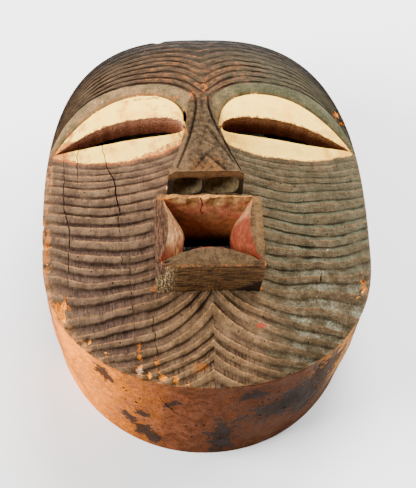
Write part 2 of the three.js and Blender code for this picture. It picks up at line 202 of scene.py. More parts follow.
def curves(table, at):
    """A smooth curve through each further column of a table, over its first one."""
    table = np.array(table, float)
    return [curve(table[:, [0, k]], at) for k in range(1, table.shape[1])]


def face_half(y):
    """Half width of the face at y: an oval with its own fullness above and below."""
    above = y > WIDEST_Y
    reach = np.where(above, CROWN_REACH, CHIN_REACH)
    full = np.where(above, CROWN_FULLNESS, CHIN_FULLNESS)
    left = np.maximum(1 - np.abs((y - WIDEST_Y) / reach) ** full, 0)
    return FACE_HALF_WIDTH * left ** (1 / full)


def crown_y(x):
    """The crown part of the same oval, as y over x."""
    left = np.maximum(1 - np.abs(x / FACE_HALF_WIDTH) ** CROWN_FULLNESS, 0)
    return WIDEST_Y + CROWN_REACH * left ** (1 / CROWN_FULLNESS)


def dome(x, y):
    """Height of the face without carving: the edge height plus the rise of the
    midline over it, which falls off with the power of the share of the half width."""
    edge = curve(EDGE_HEIGHTS, y)
    share = np.minimum(np.abs(x) / np.maximum(face_half(y), 1e-6), 1)
    return edge + (curve(MIDLINE_HEIGHTS, y) - edge) * (1 - share ** CROSS_ROUNDING)


def rim_point(angle):
    """A point of the back rim's oval, by an angle that runs round it."""
    c, s = np.cos(angle), np.sin(angle)
    full = np.where(s > 0, RIM_CROWN_FULLNESS, RIM_CHIN_FULLNESS)
    reach = np.where(s > 0, RIM_CROWN_REACH, RIM_CHIN_REACH)
    x = RIM_HALF_WIDTH * np.abs(c) ** (2 / full) * np.sign(c)
    y = RIM_WIDEST_Y + reach * np.abs(s) ** (2 / full) * np.sign(s)
    return x, y


print("face", 2 * FACE_HALF_WIDTH, "wide, dome", float(dome(0.0, -20.0)), "high")

# %% [markdown]
# ## The rows of carving
#
# Every groove follows the features. On the forehead the grooves arch over each
# brow and dip at the midline. On the cheeks they hang like a smile, and on the
# chin they climb to the midline like a row of chevrons. Each groove is a row with
# a number, counted from the crown, and one function gives its line: y for every x.
# Between the brow and the cheeks the rows become the outlines of the lids.

# %% Sizes of the carving, in millimetres
TIP_Y = 55
FOREHEAD_GROOVES = 10
BROW_ARCH = 52
BROW_FULLNESS = 6
BROW_DIP = 28
BROW_DIP_WIDTH = 17
BROW_DIP_ROUNDING = 3
EYE_INNER_X = 14
EYE_SHIFT = 2.4
EYE_OUTER_X = 127
EYE_LINE_Y = 51.5
UPPER_LID_HEIGHT = 39.5
LOWER_LID_HEIGHT = 23.5
HALF_LID_GAP = 1.5
UPPER_LID_LEAF = (0.4, 2.5, 2)
LOWER_LID_LEAF = (0.42, 2.2, 2.2)
UPPER_BRIDGE = 16
LOWER_BRIDGE = 8
LOWER_GROOVES = 22
MIDLINE_RISE_WIDTH = 26
OUTWARD_FROM_X = 60
OUTWARD_POWER = 1.7

# Guides of the cheek and chin rows: rows below the lid, y, rise toward the
# midline, rise toward the edge.
LOWER_GUIDES = [
    (4, 1, 22, 16), (7.5, -32, 22, 18), (10, -61, 24, 19), (13, -94, 35, 11),
    (15, -119, 40, 0), (16, -129, 41, 0), (18, -149, 27, 0), (20, -165, 24, 0),
    (22, -178, 10.5, 0),
]
TIP_X = float(face_half(TIP_Y))
BROW_ROW = FOREHEAD_GROOVES
UPPER_LID_ROW = BROW_ROW + 1
LOWER_LID_ROW = UPPER_LID_ROW + 2
CHIN_ROW = LOWER_LID_ROW + LOWER_GROOVES


def leaf(u, peak, bluntness, taper):
    """A leaf's edge over its length: 0 at both ends, 1 at the peak, blunt at the
    start like a full oval and running out in a power curve at the tip."""
    rise = np.maximum(1 - np.clip((peak - u) / peak, 0, 1) ** bluntness, 0) ** (1 / bluntness)
    fall = 1 - np.clip((u - peak) / (1 - peak), 0, 1) ** taper
    return np.where((u <= 0) | (u >= 1), 0, np.where(u < peak, rise, fall))


def from_nose(x):
    """Distance from the midline of the eyes, which sits a little to the left."""
    return np.abs(x + EYE_SHIFT * np.maximum(0, 1 - np.abs(x) / TIP_X))


def along_eye(x):
    """0 at the inner corner of an eye, 1 at its outer tip."""
    return (from_nose(x) - EYE_INNER_X) / (EYE_OUTER_X - EYE_INNER_X)


def brow_top(x):
    """An arch that falls off steeply at the tip, less a dip at the midline."""
    arch = 1 - np.minimum(np.abs(x) / TIP_X, 1) ** BROW_FULLNESS
    off = np.hypot(x, BROW_DIP_ROUNDING) - BROW_DIP_ROUNDING
    return TIP_Y + BROW_ARCH * arch - BROW_DIP * np.exp(-off / BROW_DIP_WIDTH)


def bridge(x):
    """1 on the midline of the eyes, falling straight to 0 at their inner corners."""
    return np.maximum(0, 1 - from_nose(x) / EYE_INNER_X)


def upper_lid(x):
    """A leaf above the line of the eye, lifted between the eyes."""
    lid = UPPER_LID_HEIGHT * leaf(along_eye(x), *UPPER_LID_LEAF)
    return EYE_LINE_Y + HALF_LID_GAP + lid + UPPER_BRIDGE * bridge(x)


def lower_lid(x):
    """A leaf below the line of the eye, lifted between the eyes."""
    lid = LOWER_LID_HEIGHT * leaf(along_eye(x), *LOWER_LID_LEAF)
    return EYE_LINE_Y - HALF_LID_GAP - lid + LOWER_BRIDGE * bridge(x)


def lower_row(count, x):
    """A cheek or chin row: a level, a rise toward the midline that fades with
    distance, and a rise toward the edge that grows with a power of distance."""
    level, inward, outward = curves(LOWER_GUIDES, count)
    out = np.maximum(0, np.abs(x) / OUTWARD_FROM_X - 1) ** OUTWARD_POWER
    return level + inward * np.exp(-np.abs(x) / MIDLINE_RISE_WIDTH) + outward * out


def row_y(row, x):
    """Line of a row: rows between two named lines are mixed from them."""

    def between(a, b, u):
        return a + (b - a) * np.clip(u, 0, 1)

    count = row - LOWER_LID_ROW
    first = LOWER_GUIDES[0][0]
    return np.select(
        [row <= BROW_ROW, row <= UPPER_LID_ROW, row <= LOWER_LID_ROW, count < first],
        [
            between(crown_y(x), brow_top(x), row / BROW_ROW),
            between(brow_top(x), upper_lid(x), row - BROW_ROW),
            between(upper_lid(x), lower_lid(x), (row - UPPER_LID_ROW) / 2),
            between(lower_lid(x), lower_row(first, x), count / first),
        ],
        lower_row(count, x),
    )


print("rows of carving:", CHIN_ROW)

# %% [markdown]
# ## Unevenness
#
# A gouge is never guided twice the same way. A few long waves of random
# direction, added up, give a soft unevenness that is the same each time the
# script runs, because their directions come from a numbered seed.

# %% Soft noise


def waves(x, y, length, seed, count=9):
    """Sum of sine waves of random direction and phase, with wavelengths near the
    given length, scaled to stay mostly between -1 and 1."""
    rng = np.random.default_rng(seed)
    total = 0
    for _ in range(count):
        turn, phase = rng.uniform(0, 2 * np.pi, 2)
        size = length * rng.uniform(0.7, 1.5)
        total = total + np.sin(2 * np.pi * (x * np.cos(turn) + y * np.sin(turn)) / size + phase)
    return total / np.sqrt(count)


def wear(x, y, length, seed):
    """The same waves held between 0 and 2, for wood that is only taken away."""
    return np.clip(1 + waves(x, y, length, seed), 0, 2)


def smooth(low, high, value):
    """0 below low, 1 above high, an S curve between."""
    u = np.clip((value - low) / (high - low), 0, 1)
    return u * u * (3 - 2 * u)


print("sample of noise:", np.round(waves(np.arange(3.0), np.zeros(3), 5, seed=1), 2))

# %% [markdown]
# ## Where the grooves run
#
# Each groove strays a little from its ideal line. The straying dies out at the
# crown, the brow, the lids and the chin, where the rows meet other forms. Two
# searches then find where a row meets the edge of the face, and which row runs
# through a given point.

# %% Straying rows
ROW_SPACING = 9
STRAY_WAVES = [(0.13, 60, 5), (0.02, 17, 6), (0.012, 7, 8)]  # rows, length, seed
FACE_HALVINGS, ROW_HALVINGS = 40, 26


def stray(row, x):
    """How far a groove is off its line, in rows: slow waves plus quick ones."""
    free = smooth(0, 1.5, row) * smooth(0, 2, BROW_ROW - row)
    free = free + smooth(0, 3, row - LOWER_LID_ROW) * smooth(0, 3, CHIN_ROW - row)
    return free * sum(
        rows * waves(x, ROW_SPACING * row, length, seed) for rows, length, seed in STRAY_WAVES
    )


def carved_y(row, x):
    """Line of a row as the gouge really cut it."""
    return row_y(row - stray(row, x), x)


def row_end(row, side):
    """Where each row meets the edge of the face on one side, found by halving."""
    inside = 0 * row
    outside = inside + FACE_HALF_WIDTH + 1.0
    for _ in range(FACE_HALVINGS):
        x = (inside + outside) / 2
        is_in = x < face_half(carved_y(row, side * x))
        inside = np.where(is_in, x, inside)
        outside = np.where(is_in, outside, x)
    return np.where(row <= BROW_ROW, TIP_X, inside)


def row_at(x, y):
    """The row number that passes through each point, found by halving a span."""
    low = 0 * x
    high = low + float(CHIN_ROW)
    for _ in range(ROW_HALVINGS):
        row = (low + high) / 2
        above = carved_y(row, x) > y
        low = np.where(above, row, low)
        high = np.where(above, high, row)
    return (low + high) / 2


print("a row strays by", round(float(np.abs(stray(20.0, np.arange(99.0))).max()), 2), "rows")

# %% [markdown]
# ## Carving depth
#
# A raised band begins at a crisp crest, slopes down a little, and drops into the
# groove below it, whose floor climbs to the next crest. The grooves are a third
# of a row on the cheeks and over half of it on the chin. The brow is a smooth
# band, and the lids swell between their crease and the slit.

# %% Carving
FOREHEAD_DEPTH = 1.4
LOWER_DEPTH = 2.8
FOREHEAD_SHARE = 0.4
CHEEK_SHARE = 0.3
CHIN_SHARE = 0.55
BROW_BAND_RISE = 1.4
LID_CREASE = 1.6
UPPER_LID_BULGE = 7
LOWER_LID_BULGE = 4.5
LID_BULGE_LEAF = (0.42, 2.4, 1.6)
CREASE_WIDTH = 0.05  # in rows
HAIR = 1e-4  # keeps a row number that is whole from falling into the row before


def groove_share(row, x):
    """Share of a row taken by its groove: wider toward the chin, most on the left."""
    down = smooth(5, 12, np.floor(row + HAIR) - LOWER_LID_ROW)
    lower = CHEEK_SHARE + (CHIN_SHARE - CHEEK_SHARE) * down
    lower = lower + 0.08 * down * np.clip(-x / FACE_HALF_WIDTH, 0, 1)
    return np.where(row < BROW_ROW - HAIR, FOREHEAD_SHARE, lower)


def groove_parts(row, x):
    """Where a row number lies in its groove: 0 to 1 for the cut, the crest line
    and the line under the drop, each a soft mask."""
    phase = (row + HAIR) % 1
    start = 1 - groove_share(row, x)
    cut = smooth(start - 0.03, start + 0.06, phase) * (1 - smooth(0.94, 1.0, phase))
    crest = np.maximum(1 - smooth(0.0, 0.12, phase), smooth(0.95, 1.0, phase))
    under = np.exp(-(((phase - start - 0.04) / 0.06) ** 2))
    return phase, start, cut, crest, under


def carving_strength(row, x, y):
    """How deep the grooves are cut: shallow on the crown, under the eyes, and
    beside the nose and mouth."""
    forehead = 0.2 + 0.55 * smooth(1.5, 8, row) - 0.2 * smooth(24, 4, np.abs(x + 2))
    forehead = forehead * (1 - 0.35 * smooth(20, 80, x))
    below = 0.26 + 0.74 * smooth(1, 8, row - LOWER_LID_ROW)
    beside = 1 - 0.5 * smooth(78, 40, np.abs(x + 3)) * smooth(-104, -90, y)
    beside = beside * (1 - 0.5 * smooth(10, 60, x)) * (1 - 0.3 * smooth(50, 20, np.abs(x)))
    to_tip = smooth(0, 0.12, 1 - np.abs(x) / TIP_X)
    deep = np.where(row < BROW_ROW, forehead * to_tip, below * beside)
    return deep * (1 + 0.3 * waves(x, y, 24, seed=7))


def carving(row, x, y):
    """Height added to the smooth form, in millimetres."""
    phase, start, cut, _, _ = groove_parts(row, x)
    floor = 1 - 0.35 * np.clip((phase - start) / (1 - start), 0, 1)
    lip = np.where(phase < start, 1 - phase / start, 0)
    lip = np.where((phase > start) & (phase > 0.985), 1, lip)
    strength = carving_strength(row, x, y)
    forehead = (0.35 * lip - FOREHEAD_DEPTH * cut * floor) * strength
    lower = (0.7 * lip - LOWER_DEPTH * cut * floor) * strength

    band = np.clip(row - BROW_ROW, 0, 1)
    on_eye = leaf(along_eye(x), *LID_BULGE_LEAF)
    crease = LID_CREASE * np.exp(-(((row - UPPER_LID_ROW) / CREASE_WIDTH) ** 2)) * (on_eye > 0)
    brow = BROW_BAND_RISE * np.sin(np.pi * np.minimum(1, band * 1.1)) - crease

    down = np.clip((row - UPPER_LID_ROW) / 2, 0, 1)
    upper = UPPER_LID_BULGE * np.minimum(1, np.sqrt(down / 0.3))
    lower_lids = LOWER_LID_BULGE * smooth(0, 0.3, 1 - down)
    lids = np.where(down < 0.55, upper, lower_lids) * on_eye - crease
    return np.select(
        [row < BROW_ROW, row <= UPPER_LID_ROW, row < LOWER_LID_ROW],
        [forehead, brow, lids],
        lower,
    )


print("deepest groove:", LOWER_DEPTH, "mm")

# %% [markdown]
# ## Meshes from grids
#
# The block is a grid that follows the rows, so each groove keeps a crisp line
# with few faces. The last row shrinks to a point at the chin, and the forehead
# rows meet in the outer tips of the eyes. Points that fall together are merged.

# %% Mesh helper


def mesh_object(name, points, faces, zones=None):
    """A mesh object from an array of points in millimetres and a list of quad or
    triangle arrays; doubles are merged and flat faces dropped."""
    points = np.asarray(points, float).reshape(-1, 3)
    keys = np.round(points, 3)
    _, first, back = np.unique(keys, axis=0, return_index=True, return_inverse=True)
    points, back = points[first], back.ravel()
    corners = back[np.vstack(faces)]
    zone = np.zeros(len(corners), int) if zones is None else np.asarray(zones)
    if corners.shape[1] == 4:
        corners = np.vstack([corners[:, [0, 1, 2]], corners[:, [0, 2, 3]]])
        zone = np.concatenate([zone, zone])
    good = (corners != np.roll(corners, 1, axis=1)).all(axis=1)
    corners, zone = corners[good], zone[good]
    mesh = bpy.data.meshes.new(name)
    mesh.vertices.add(len(points))
    mesh.vertices.foreach_set("co", (points * MM).ravel())
    mesh.loops.add(corners.size)
    mesh.loops.foreach_set("vertex_index", corners.ravel())
    mesh.polygons.add(len(corners))
    mesh.polygons.foreach_set("loop_start", np.arange(0, corners.size, 3))
    mesh.update(calc_edges=True)
    mesh.validate()
    made = bpy.data.objects.new(name, mesh)
    bpy.context.collection.objects.link(made)
    print(name, len(points), "points", len(corners), "triangles")
    return made, zone


def grid_quads(rows, columns, start=0, around=False):
    """Corner numbers of the quads of a grid, counter-clockwise when rows run away
    from the reader and columns to the right; around closes each row on itself."""
    index = start + np.arange(rows * columns).reshape(rows, columns)
    if around:
        index = np.column_stack([index, index[:, :1]])
    four = index[1:, :-1], index[1:, 1:], index[:-1, 1:], index[:-1, :-1]
    return np.column_stack([corner.ravel() for corner in four])


print("quads of a small grid:", grid_quads(2, 3).tolist())

# %% [markdown]
# ## Chips
#
# The sharp edge of the face has been knocked in a few places. Each chip is a
# small soft dent at a named place: points inside its reach are pulled inward,
# most at its middle.

# %% Chips along the edge
# Each chip: x, y, reach, depth.
CHIPS = [
    (-122, -91, 8, 2.4), (-119, -99, 5, 1.8), (-84, -136, 3, 1.4), (-98, -123, 3, 1.0),
    (-51, -155, 3.5, 1.6), (-41, -157, 4, 1.8), (-30, -160, 3.5, 1.6), (-21, -163, 3, 1.2),
    (-60, -150, 3.5, 1.6), (-59, -141, 2.4, 1.4), (-45, -146, 2.2, 1.6), (128, -72, 4, 1.6),
    (125, -80, 3.5, 1.4), (121, -87, 3, 1.2), (116, 90, 3.5, 1.8), (121, 82, 3, 1.6),
    (-34, 172, 4, 1.4), (-134, -14, 4, 1.0), (-133, -32, 5, 1.2), (-132, -50, 4, 1.0),
    (62, -157, 3, 1.0), (-70, -146, 2.5, 0.9), (8, -166, 2.5, 0.9),
]


def chip_depth(x, y):
    """Sum over chips of depth times a soft bump that ends at the chip's reach."""
    total = 0 * x
    ragged = 1 + 0.3 * waves(x, y, 5, seed=21)
    for cx, cy, reach, depth in CHIPS:
        far = np.hypot(x - cx, y - cy) * ragged / reach
        total = total + depth * (1 - smooth(0.35, 1.0, far))
    return total


print("chips:", len(CHIPS))

# %% [markdown]
# ## The block itself
#
# The grid of the face is laid over the dome and cut by the rows. From its edge a
# second grid runs back to the rim as the side wall, and a flat fan closes the
# back. Each part of the skin gets a number, its zone, by which the paint finds
# it later.

# %% The carved block
STEPS_BROW = 10
STEPS_EYE = 46
COLUMNS = 170
WALL_RINGS = 15
WALL_START = [0.006, 0.02, 0.045]  # close rings near the edge, as shares of the wall
EDGE_ROUNDING = 0.9
FACE_WEAR, LID_WEAR = 0.32, 0.1
WALL_WEAR = [(0.7, 22, 41), (0.35, 8, 42)]  # depth, length, seed
FACE, WALL, NOSE, MOUTH, FUNNEL, HOLLOW, SLIT, NOSTRIL, CRACK = range(9)


def rim_under(x, y):
    """The rim point in the same direction from the widest line as a face edge point."""
    above = y > WIDEST_Y
    full = np.where(above, CROWN_FULLNESS, CHIN_FULLNESS)
    reach = np.where(above, CROWN_REACH, CHIN_REACH)
    c = (np.abs(x) / FACE_HALF_WIDTH) ** (full / 2)
    s = (np.abs(y - WIDEST_Y) / reach) ** (full / 2)
    return rim_point(np.arctan2(np.where(above, s, -s), c * np.where(x < 0, -1, 1)))


def groove_rows(first, count, u):
    """Row numbers of nine grid lines for each groove: the crest, two on the band,
    three down the drop and two along the floor."""
    k = (first + np.arange(count, dtype=float))[:, None, None] + 0 * u[None]
    start = 1 - groove_share(k, FACE_HALF_WIDTH * 0.9 * u[None])
    places = [
        0 * start, 0.06 + 0 * start, 0.35 * start, 0.7 * start, start - 0.03,
        start + 0.015, start + 0.06, (start + 0.99) / 2, 0.94 + 0 * start,
    ]
    return (k + np.concatenate(places, axis=1)).reshape(-1, u.shape[1])


def face_rows(u):
    """Row numbers of all lines of the face grid, from the crown to the chin."""
    plain = np.concatenate([
        BROW_ROW + np.arange(0, 1, 1 / STEPS_BROW),
        UPPER_LID_ROW + 2 * np.arange(0, 1, 1 / STEPS_EYE),
    ])[:, None]
    return np.vstack([
        groove_rows(0, FOREHEAD_GROOVES, u), plain + 0 * u,
        groove_rows(LOWER_LID_ROW, LOWER_GROOVES, u), CHIN_ROW + 0 * u,
    ])


def face_surface(rows, u):
    """The dome plus the carving, which fades out at the edge, less the wear."""
    x = row_end(rows, np.sign(u)) * u
    y = carved_y(rows, x)
    y[rows[:, 0] <= BROW_ROW, 0] = y[rows[:, 0] <= BROW_ROW, -1] = TIP_Y
    x[-1], y[-1] = 0, WIDEST_Y - CHIN_REACH
    from_edge = smooth(0, 0.03, 1 - np.abs(u))
    from_crown = smooth(0, 0.35, rows)
    inner = np.where(rows > BROW_ROW, 0.45 + 0.55 * from_edge, from_edge) * from_crown
    inner[-1] = 0
    on_eye = smooth(BROW_ROW, BROW_ROW + 0.2, rows)
    on_eye = on_eye * smooth(LOWER_LID_ROW + 0.3, LOWER_LID_ROW, rows)
    worn = FACE_WEAR - (FACE_WEAR - LID_WEAR) * on_eye
    z = dome(x, y) + carving(rows, x, y) * inner
    return x, y, z - worn * wear(x, y, 9, seed=31) * from_edge * from_crown


def wall_surface(ex, ey, ez):
    """Rings from the edge of the face straight back to the rim, with a swell at
    half height, less the wear of the tool and the chips of the edge."""
    share = np.concatenate([WALL_START, np.linspace(0.08, 1, WALL_RINGS - 3)])[:, None]
    rx, ry = rim_under(ex, ey)
    x, y = ex + (rx - ex) * share, ey + (ry - ey) * share
    z = ez * (1 - share)
    around = np.arctan2(y, x) * 120
    (coarse, *long), (fine, *short) = WALL_WEAR
    tool = coarse * wear(around, z * 0.35, *long) + fine * wear(around, z, *short)
    tool = tool * smooth(0, 0.08, share) * smooth(0, 0.1, 1 - share)
    bite = chip_depth(ex, ey) * (1 - smooth(0.01, 0.07, share))
    swell = (WALL_SWELL * (1 - np.abs(2 * share - 1)) - tool - bite) / FACE_HALF_WIDTH
    return x * (1 + swell), WIDEST_Y + (y - WIDEST_Y) * (1 + swell), z


def carved_block():
    """The face, the wall that runs from its edge back to the rim, and the flat
    back, as one closed skin. Each quad keeps a number for where it belongs."""
    u = np.linspace(-1, 1, COLUMNS + 1)[None, :]
    rows = face_rows(u)
    x, y, z = face_surface(rows, u)
    lower = np.flatnonzero(rows[:, 0] > BROW_ROW)
    down, back_up = lower * (COLUMNS + 1), lower[-2::-1] * (COLUMNS + 1) + COLUMNS
    loop = np.concatenate([np.arange(COLUMNS, -1, -1), down, back_up])
    wall = wall_surface(*(v.ravel()[loop] for v in (x, y, z)))

    chipped = chip_depth(x, y)
    z -= chipped * 0.9
    near = smooth(0.12, 0, 1 - np.abs(u)) + smooth(0.6, 0, rows)
    pull = 1 - (EDGE_ROUNDING * 0.5 + chipped) * np.clip(near, 0, 1) / FACE_HALF_WIDTH
    face = x * pull, WIDEST_Y + (y - WIDEST_Y) * pull, z

    points = [np.column_stack([v.ravel() for v in grid]) for grid in (face, wall)]
    points = np.vstack([*points, [0, RIM_WIDEST_Y, 0]])
    wall_quads = grid_quads(*wall[0].shape, start=x.size, around=True)
    ring = np.append(loop, loop[0])
    turn = np.append(np.arange(len(loop)), 0)
    top, last = x.size + turn, len(points) - 1 - len(loop) + turn
    join = np.column_stack([top[:-1], top[1:], ring[1:], ring[:-1]])
    back = np.full(len(loop), len(points) - 1)
    under = np.column_stack([last[1:], last[:-1], back, back])
    faces = [grid_quads(*x.shape), wall_quads, join, under]
    zones = np.repeat([FACE, WALL, WALL, WALL], [len(f) for f in faces])
    return mesh_object("carved_mask", points, faces, zones)


block, block_zones = carved_block()

# %% [markdown]
# ## Tubes
#
# Nose and mouth are solids of their own that are joined to the block afterwards,
# which gives the crisp meeting line that a carver cuts. Each is a grid round a
# section, closed at both ends, and so is nearly every tool that cuts the block.

# %% Tube helper
FEATURE_X = -3  # the middle of nose and mouth


def closed_tube(name, x, y, z):
    """Sections of a tube as rows of a grid, closed at both ends by fans."""
    rows, columns = x.shape
    points = np.column_stack([x.ravel(), y.ravel(), z.ravel()])
    ends = [points[:columns].mean(axis=0), points[-columns:].mean(axis=0)]
    points = np.vstack([points, ends])
    ring = np.append(np.arange(columns), 0)
    first = np.full(columns, rows * columns)
    start = np.column_stack([ring[1:], ring[:-1], first, first])
    last = (rows - 1) * columns + ring
    end = np.column_stack([last[:-1], last[1:], first + 1, first + 1])
    sides = grid_quads(rows, columns, around=True)[:, ::-1]
    made, _ = mesh_object(name, points, [sides, start, end])
    return made


print("nose and mouth stand", -FEATURE_X, "mm left of the middle")

# %% [markdown]
# ## Nose
#
# The nose is a wedge: it grows wider and higher from the brow to a flat
# underside, where two nostrils run up into it. Old incised lines follow its
# sides, and a ladder of short ones climbs on the right.

# %% Nose and nostrils, in millimetres
NOSE_TOP_Y = 100
NOSE_BASE_Y = -9.5
NOSE_TOP_HEIGHT = 150
NOSE_BASE_HEIGHT = 198.5
NOSE_TOP_HALF = 8.5
NOSE_BASE_HALF = 30.3
NOSE_FLARE = 1.9
NOSE_SINK = 7
NOSE_ROOT = 128
NOSE_STEPS = (92, 60, 12)  # from top to base, across the front, down each side

# Incised lines of the nose: a path of x and y, and its depth.
NOSE_LINES = [
    ([(-8, 99), (-7, 86), (-7, 72), (-9, 58), (-14, 34), (-20, 14), (-26, -4)], 2.2),
    ([(4.5, 99), (3, 72), (6, 54), (11, 36), (17, 18), (25, -5)], 2.2),
    ([(0, 46), (7, 30), (15, 12), (19, 2)], 1.5), ([(0, 46), (-5, 30), (-9, 14)], 0.8),
    ([(-12, -6), (-2, 11.5), (13, -9)], 1.8), ([(9, 78), (12, 58), (18, 38), (24, 20)], 1.2),
    ([(-2, 80), (-3, 62), (-7, 46)], 0.7),
]
NOSE_RUNGS = range(52, 84, 5)  # heights of the short lines of a ladder
LINE_WIDTH = 1.1
NOSTRIL_HALF_WIDTHS = {-1: 11.6, 1: 14.2}
NOSTRIL_DEPTHS = {-1: 20, 1: 15}
NOSTRIL_HALF_HEIGHT = 14
NOSTRIL_Z = 173.5
SEPTUM_X = -5
SEPTUM_HALF = 0.8
NOSTRIL_SQUARENESS = 0.6  # 1 is round, toward 0 is square


def gap_to_path(x, y, path):
    """Distance from each point to the nearest of the straight pieces of a path."""
    path = np.array(path, float)
    nearest = np.inf
    for (ax, ay), (bx, by) in zip(path[:-1], path[1:]):
        dx, dy = bx - ax, by - ay
        along = np.clip(((x - ax) * dx + (y - ay) * dy) / (dx * dx + dy * dy), 0, 1)
        nearest = np.minimum(nearest, np.hypot(x - ax - along * dx, y - ay - along * dy))
    return nearest


def nose_cut(x, y):
    """Depth of the incised lines: each is a soft V along its path. A ladder of
    short ones climbs on the right."""
    cut = 0 * x
    rungs = [([(3, y0), (8, y0 - 2)], 0.6) for y0 in NOSE_RUNGS]
    for path, depth in NOSE_LINES + rungs:
        cut = np.maximum(cut, depth * np.exp(-((gap_to_path(x, y, path) / LINE_WIDTH) ** 2)))
    return cut


def nose():
    """Half width and front height grow from top to base; across the front the
    surface is a low crown with worn corners, cut by the incised lines."""
    steps_along, steps_across, steps_down = NOSE_STEPS
    u = np.linspace(0, 1, steps_along)[:, None]
    y = NOSE_TOP_Y + (NOSE_BASE_Y - NOSE_TOP_Y) * u
    half = NOSE_TOP_HALF + (NOSE_BASE_HALF - NOSE_TOP_HALF) * u**NOSE_FLARE
    front = NOSE_TOP_HEIGHT + (NOSE_BASE_HEIGHT - NOSE_TOP_HEIGHT) * u
    front = front - NOSE_SINK * smooth(0.22, 0, u) ** 1.5
    s = np.sin(np.linspace(-np.pi / 2, np.pi / 2, steps_across))[None, :]
    corner = (1.5 + 2.5 * u) * smooth(0.78, 1, np.abs(s))
    corner = corner + (0.8 + 5 * smooth(0.26, 0, u)) * s * s
    incised = nose_cut(FEATURE_X + half * s, y + 0 * s)
    tool = 0.35 * wear(half * s, y + 0 * s, 9, seed=51)
    face_x, face_z = half * s, front - corner - incised * (u < 0.985) - tool
    side = np.linspace(0, 1, steps_down)[None, 1:]
    edge_z = face_z[:, -1:]
    right_x = half + side + 0 * edge_z
    right_z = edge_z + (NOSE_ROOT - edge_z) * side
    left_z = face_z[:, :1] + (NOSE_ROOT - face_z[:, :1]) * side[:, ::-1]
    x = np.hstack([face_x, right_x, -right_x[:, ::-1]])
    z = np.hstack([face_z, right_z, left_z])
    return closed_tube("nose", FEATURE_X + x, y + 0 * x, z)


def nostril(side):
    """A squarish oval hollow that narrows as it runs up into the nose."""
    u = np.linspace(0, 1, 12)[:, None]
    angle = np.linspace(0, 2 * np.pi, 40, endpoint=False)[None, :]
    size = np.where(u < 0.9, 1 - 0.55 * (u / 0.9) ** 2, 0.45 - 0.3 * (u - 0.9) / 0.1)
    c, s = np.cos(angle), np.sin(angle)
    round_x = np.sign(c) * np.abs(c) ** NOSTRIL_SQUARENESS
    round_z = np.sign(s) * np.abs(s) ** NOSTRIL_SQUARENESS
    half, depth = NOSTRIL_HALF_WIDTHS[side], NOSTRIL_DEPTHS[side]
    middle = SEPTUM_X + side * (SEPTUM_HALF + half)
    x = middle - side * (1 - size) * 5 + half * size * round_x
    y = NOSE_BASE_Y - 3 + (depth + 3) * u + 0 * x
    z = NOSTRIL_Z + NOSTRIL_HALF_HEIGHT * size * round_z
    return closed_tube("nostril", x[::-1], y[::-1], z[::-1])


print("nose from y", NOSE_TOP_Y, "to", NOSE_BASE_Y, "with", len(NOSE_LINES), "long lines")

# %% [markdown]
# ## Mouth
#
# The mouth is a box that stands out square from the face, with a flared hollow.
# The lips of the hollow swell inward on the way to the throat. The box is worn at
# its front edge, and its lower left corner has splintered off.

# %% Mouth, in millimetres
MOUTH_FRONT_Z = 199
MOUTH_ROOT_Z = 120
MOUTH_TOP_Y = -30.2
MOUTH_TOP_SLANT = 1.5
MOUTH_BOTTOM_Y = -94
MOUTH_TOP_HALF = 42.6
MOUTH_BOTTOM_HALF = 43.2
MOUTH_MIDDLE_Y = -62
MOUTH_ROUNDING = 1.2
MOUTH_TAPER = 2.0  # how much slimmer the root is to each side
MOUTH_SIDE_RINGS, MOUTH_FRONT_RINGS = 22, 14
MOUTH_FRONT_SHRINK = 30
SPLINTER_DEPTH = 4.5

# Funnel sections: height, top half width, bottom half width, bottom y, top y,
# swell of the side lips, swell of the lower lip.
FUNNEL_SECTIONS = [
    (100, 19, 19, -66, -46, 0, 0), (152, 19, 19, -66, -46, 0, 0),
    (168, 22, 23.5, -71, -43, 4, 3), (180, 27.5, 29.5, -79, -39.5, 8, 8),
    (190, 32, 35.5, -86, -36.5, 8.5, 13), (199, 36, 40, -89.8, -33.5, 5.5, 12.5),
    (203, 38, 42, -91, -32, 4.5, 9),
]


def square_ring(top_half, low_half, bottom, top, side_swell, low_swell, per_side=24):
    """Points round a four-sided section from its lower left corner; the lower and
    side edges bow inward by a sine of the given swell."""
    u = np.linspace(0, 1, per_side, endpoint=False)[None, :]
    bow = np.sin(np.pi * u)
    lean = (top_half - low_half) * u
    x = np.hstack([
        -low_half + 2 * low_half * u, low_half + lean - side_swell * bow,
        top_half - 2 * top_half * u, -top_half + lean + side_swell * bow,
    ])
    y = np.hstack([
        bottom + low_swell * bow, bottom + (top - bottom) * u,
        top + 0 * bow, top + (bottom - top) * u,
    ])
    return x, y


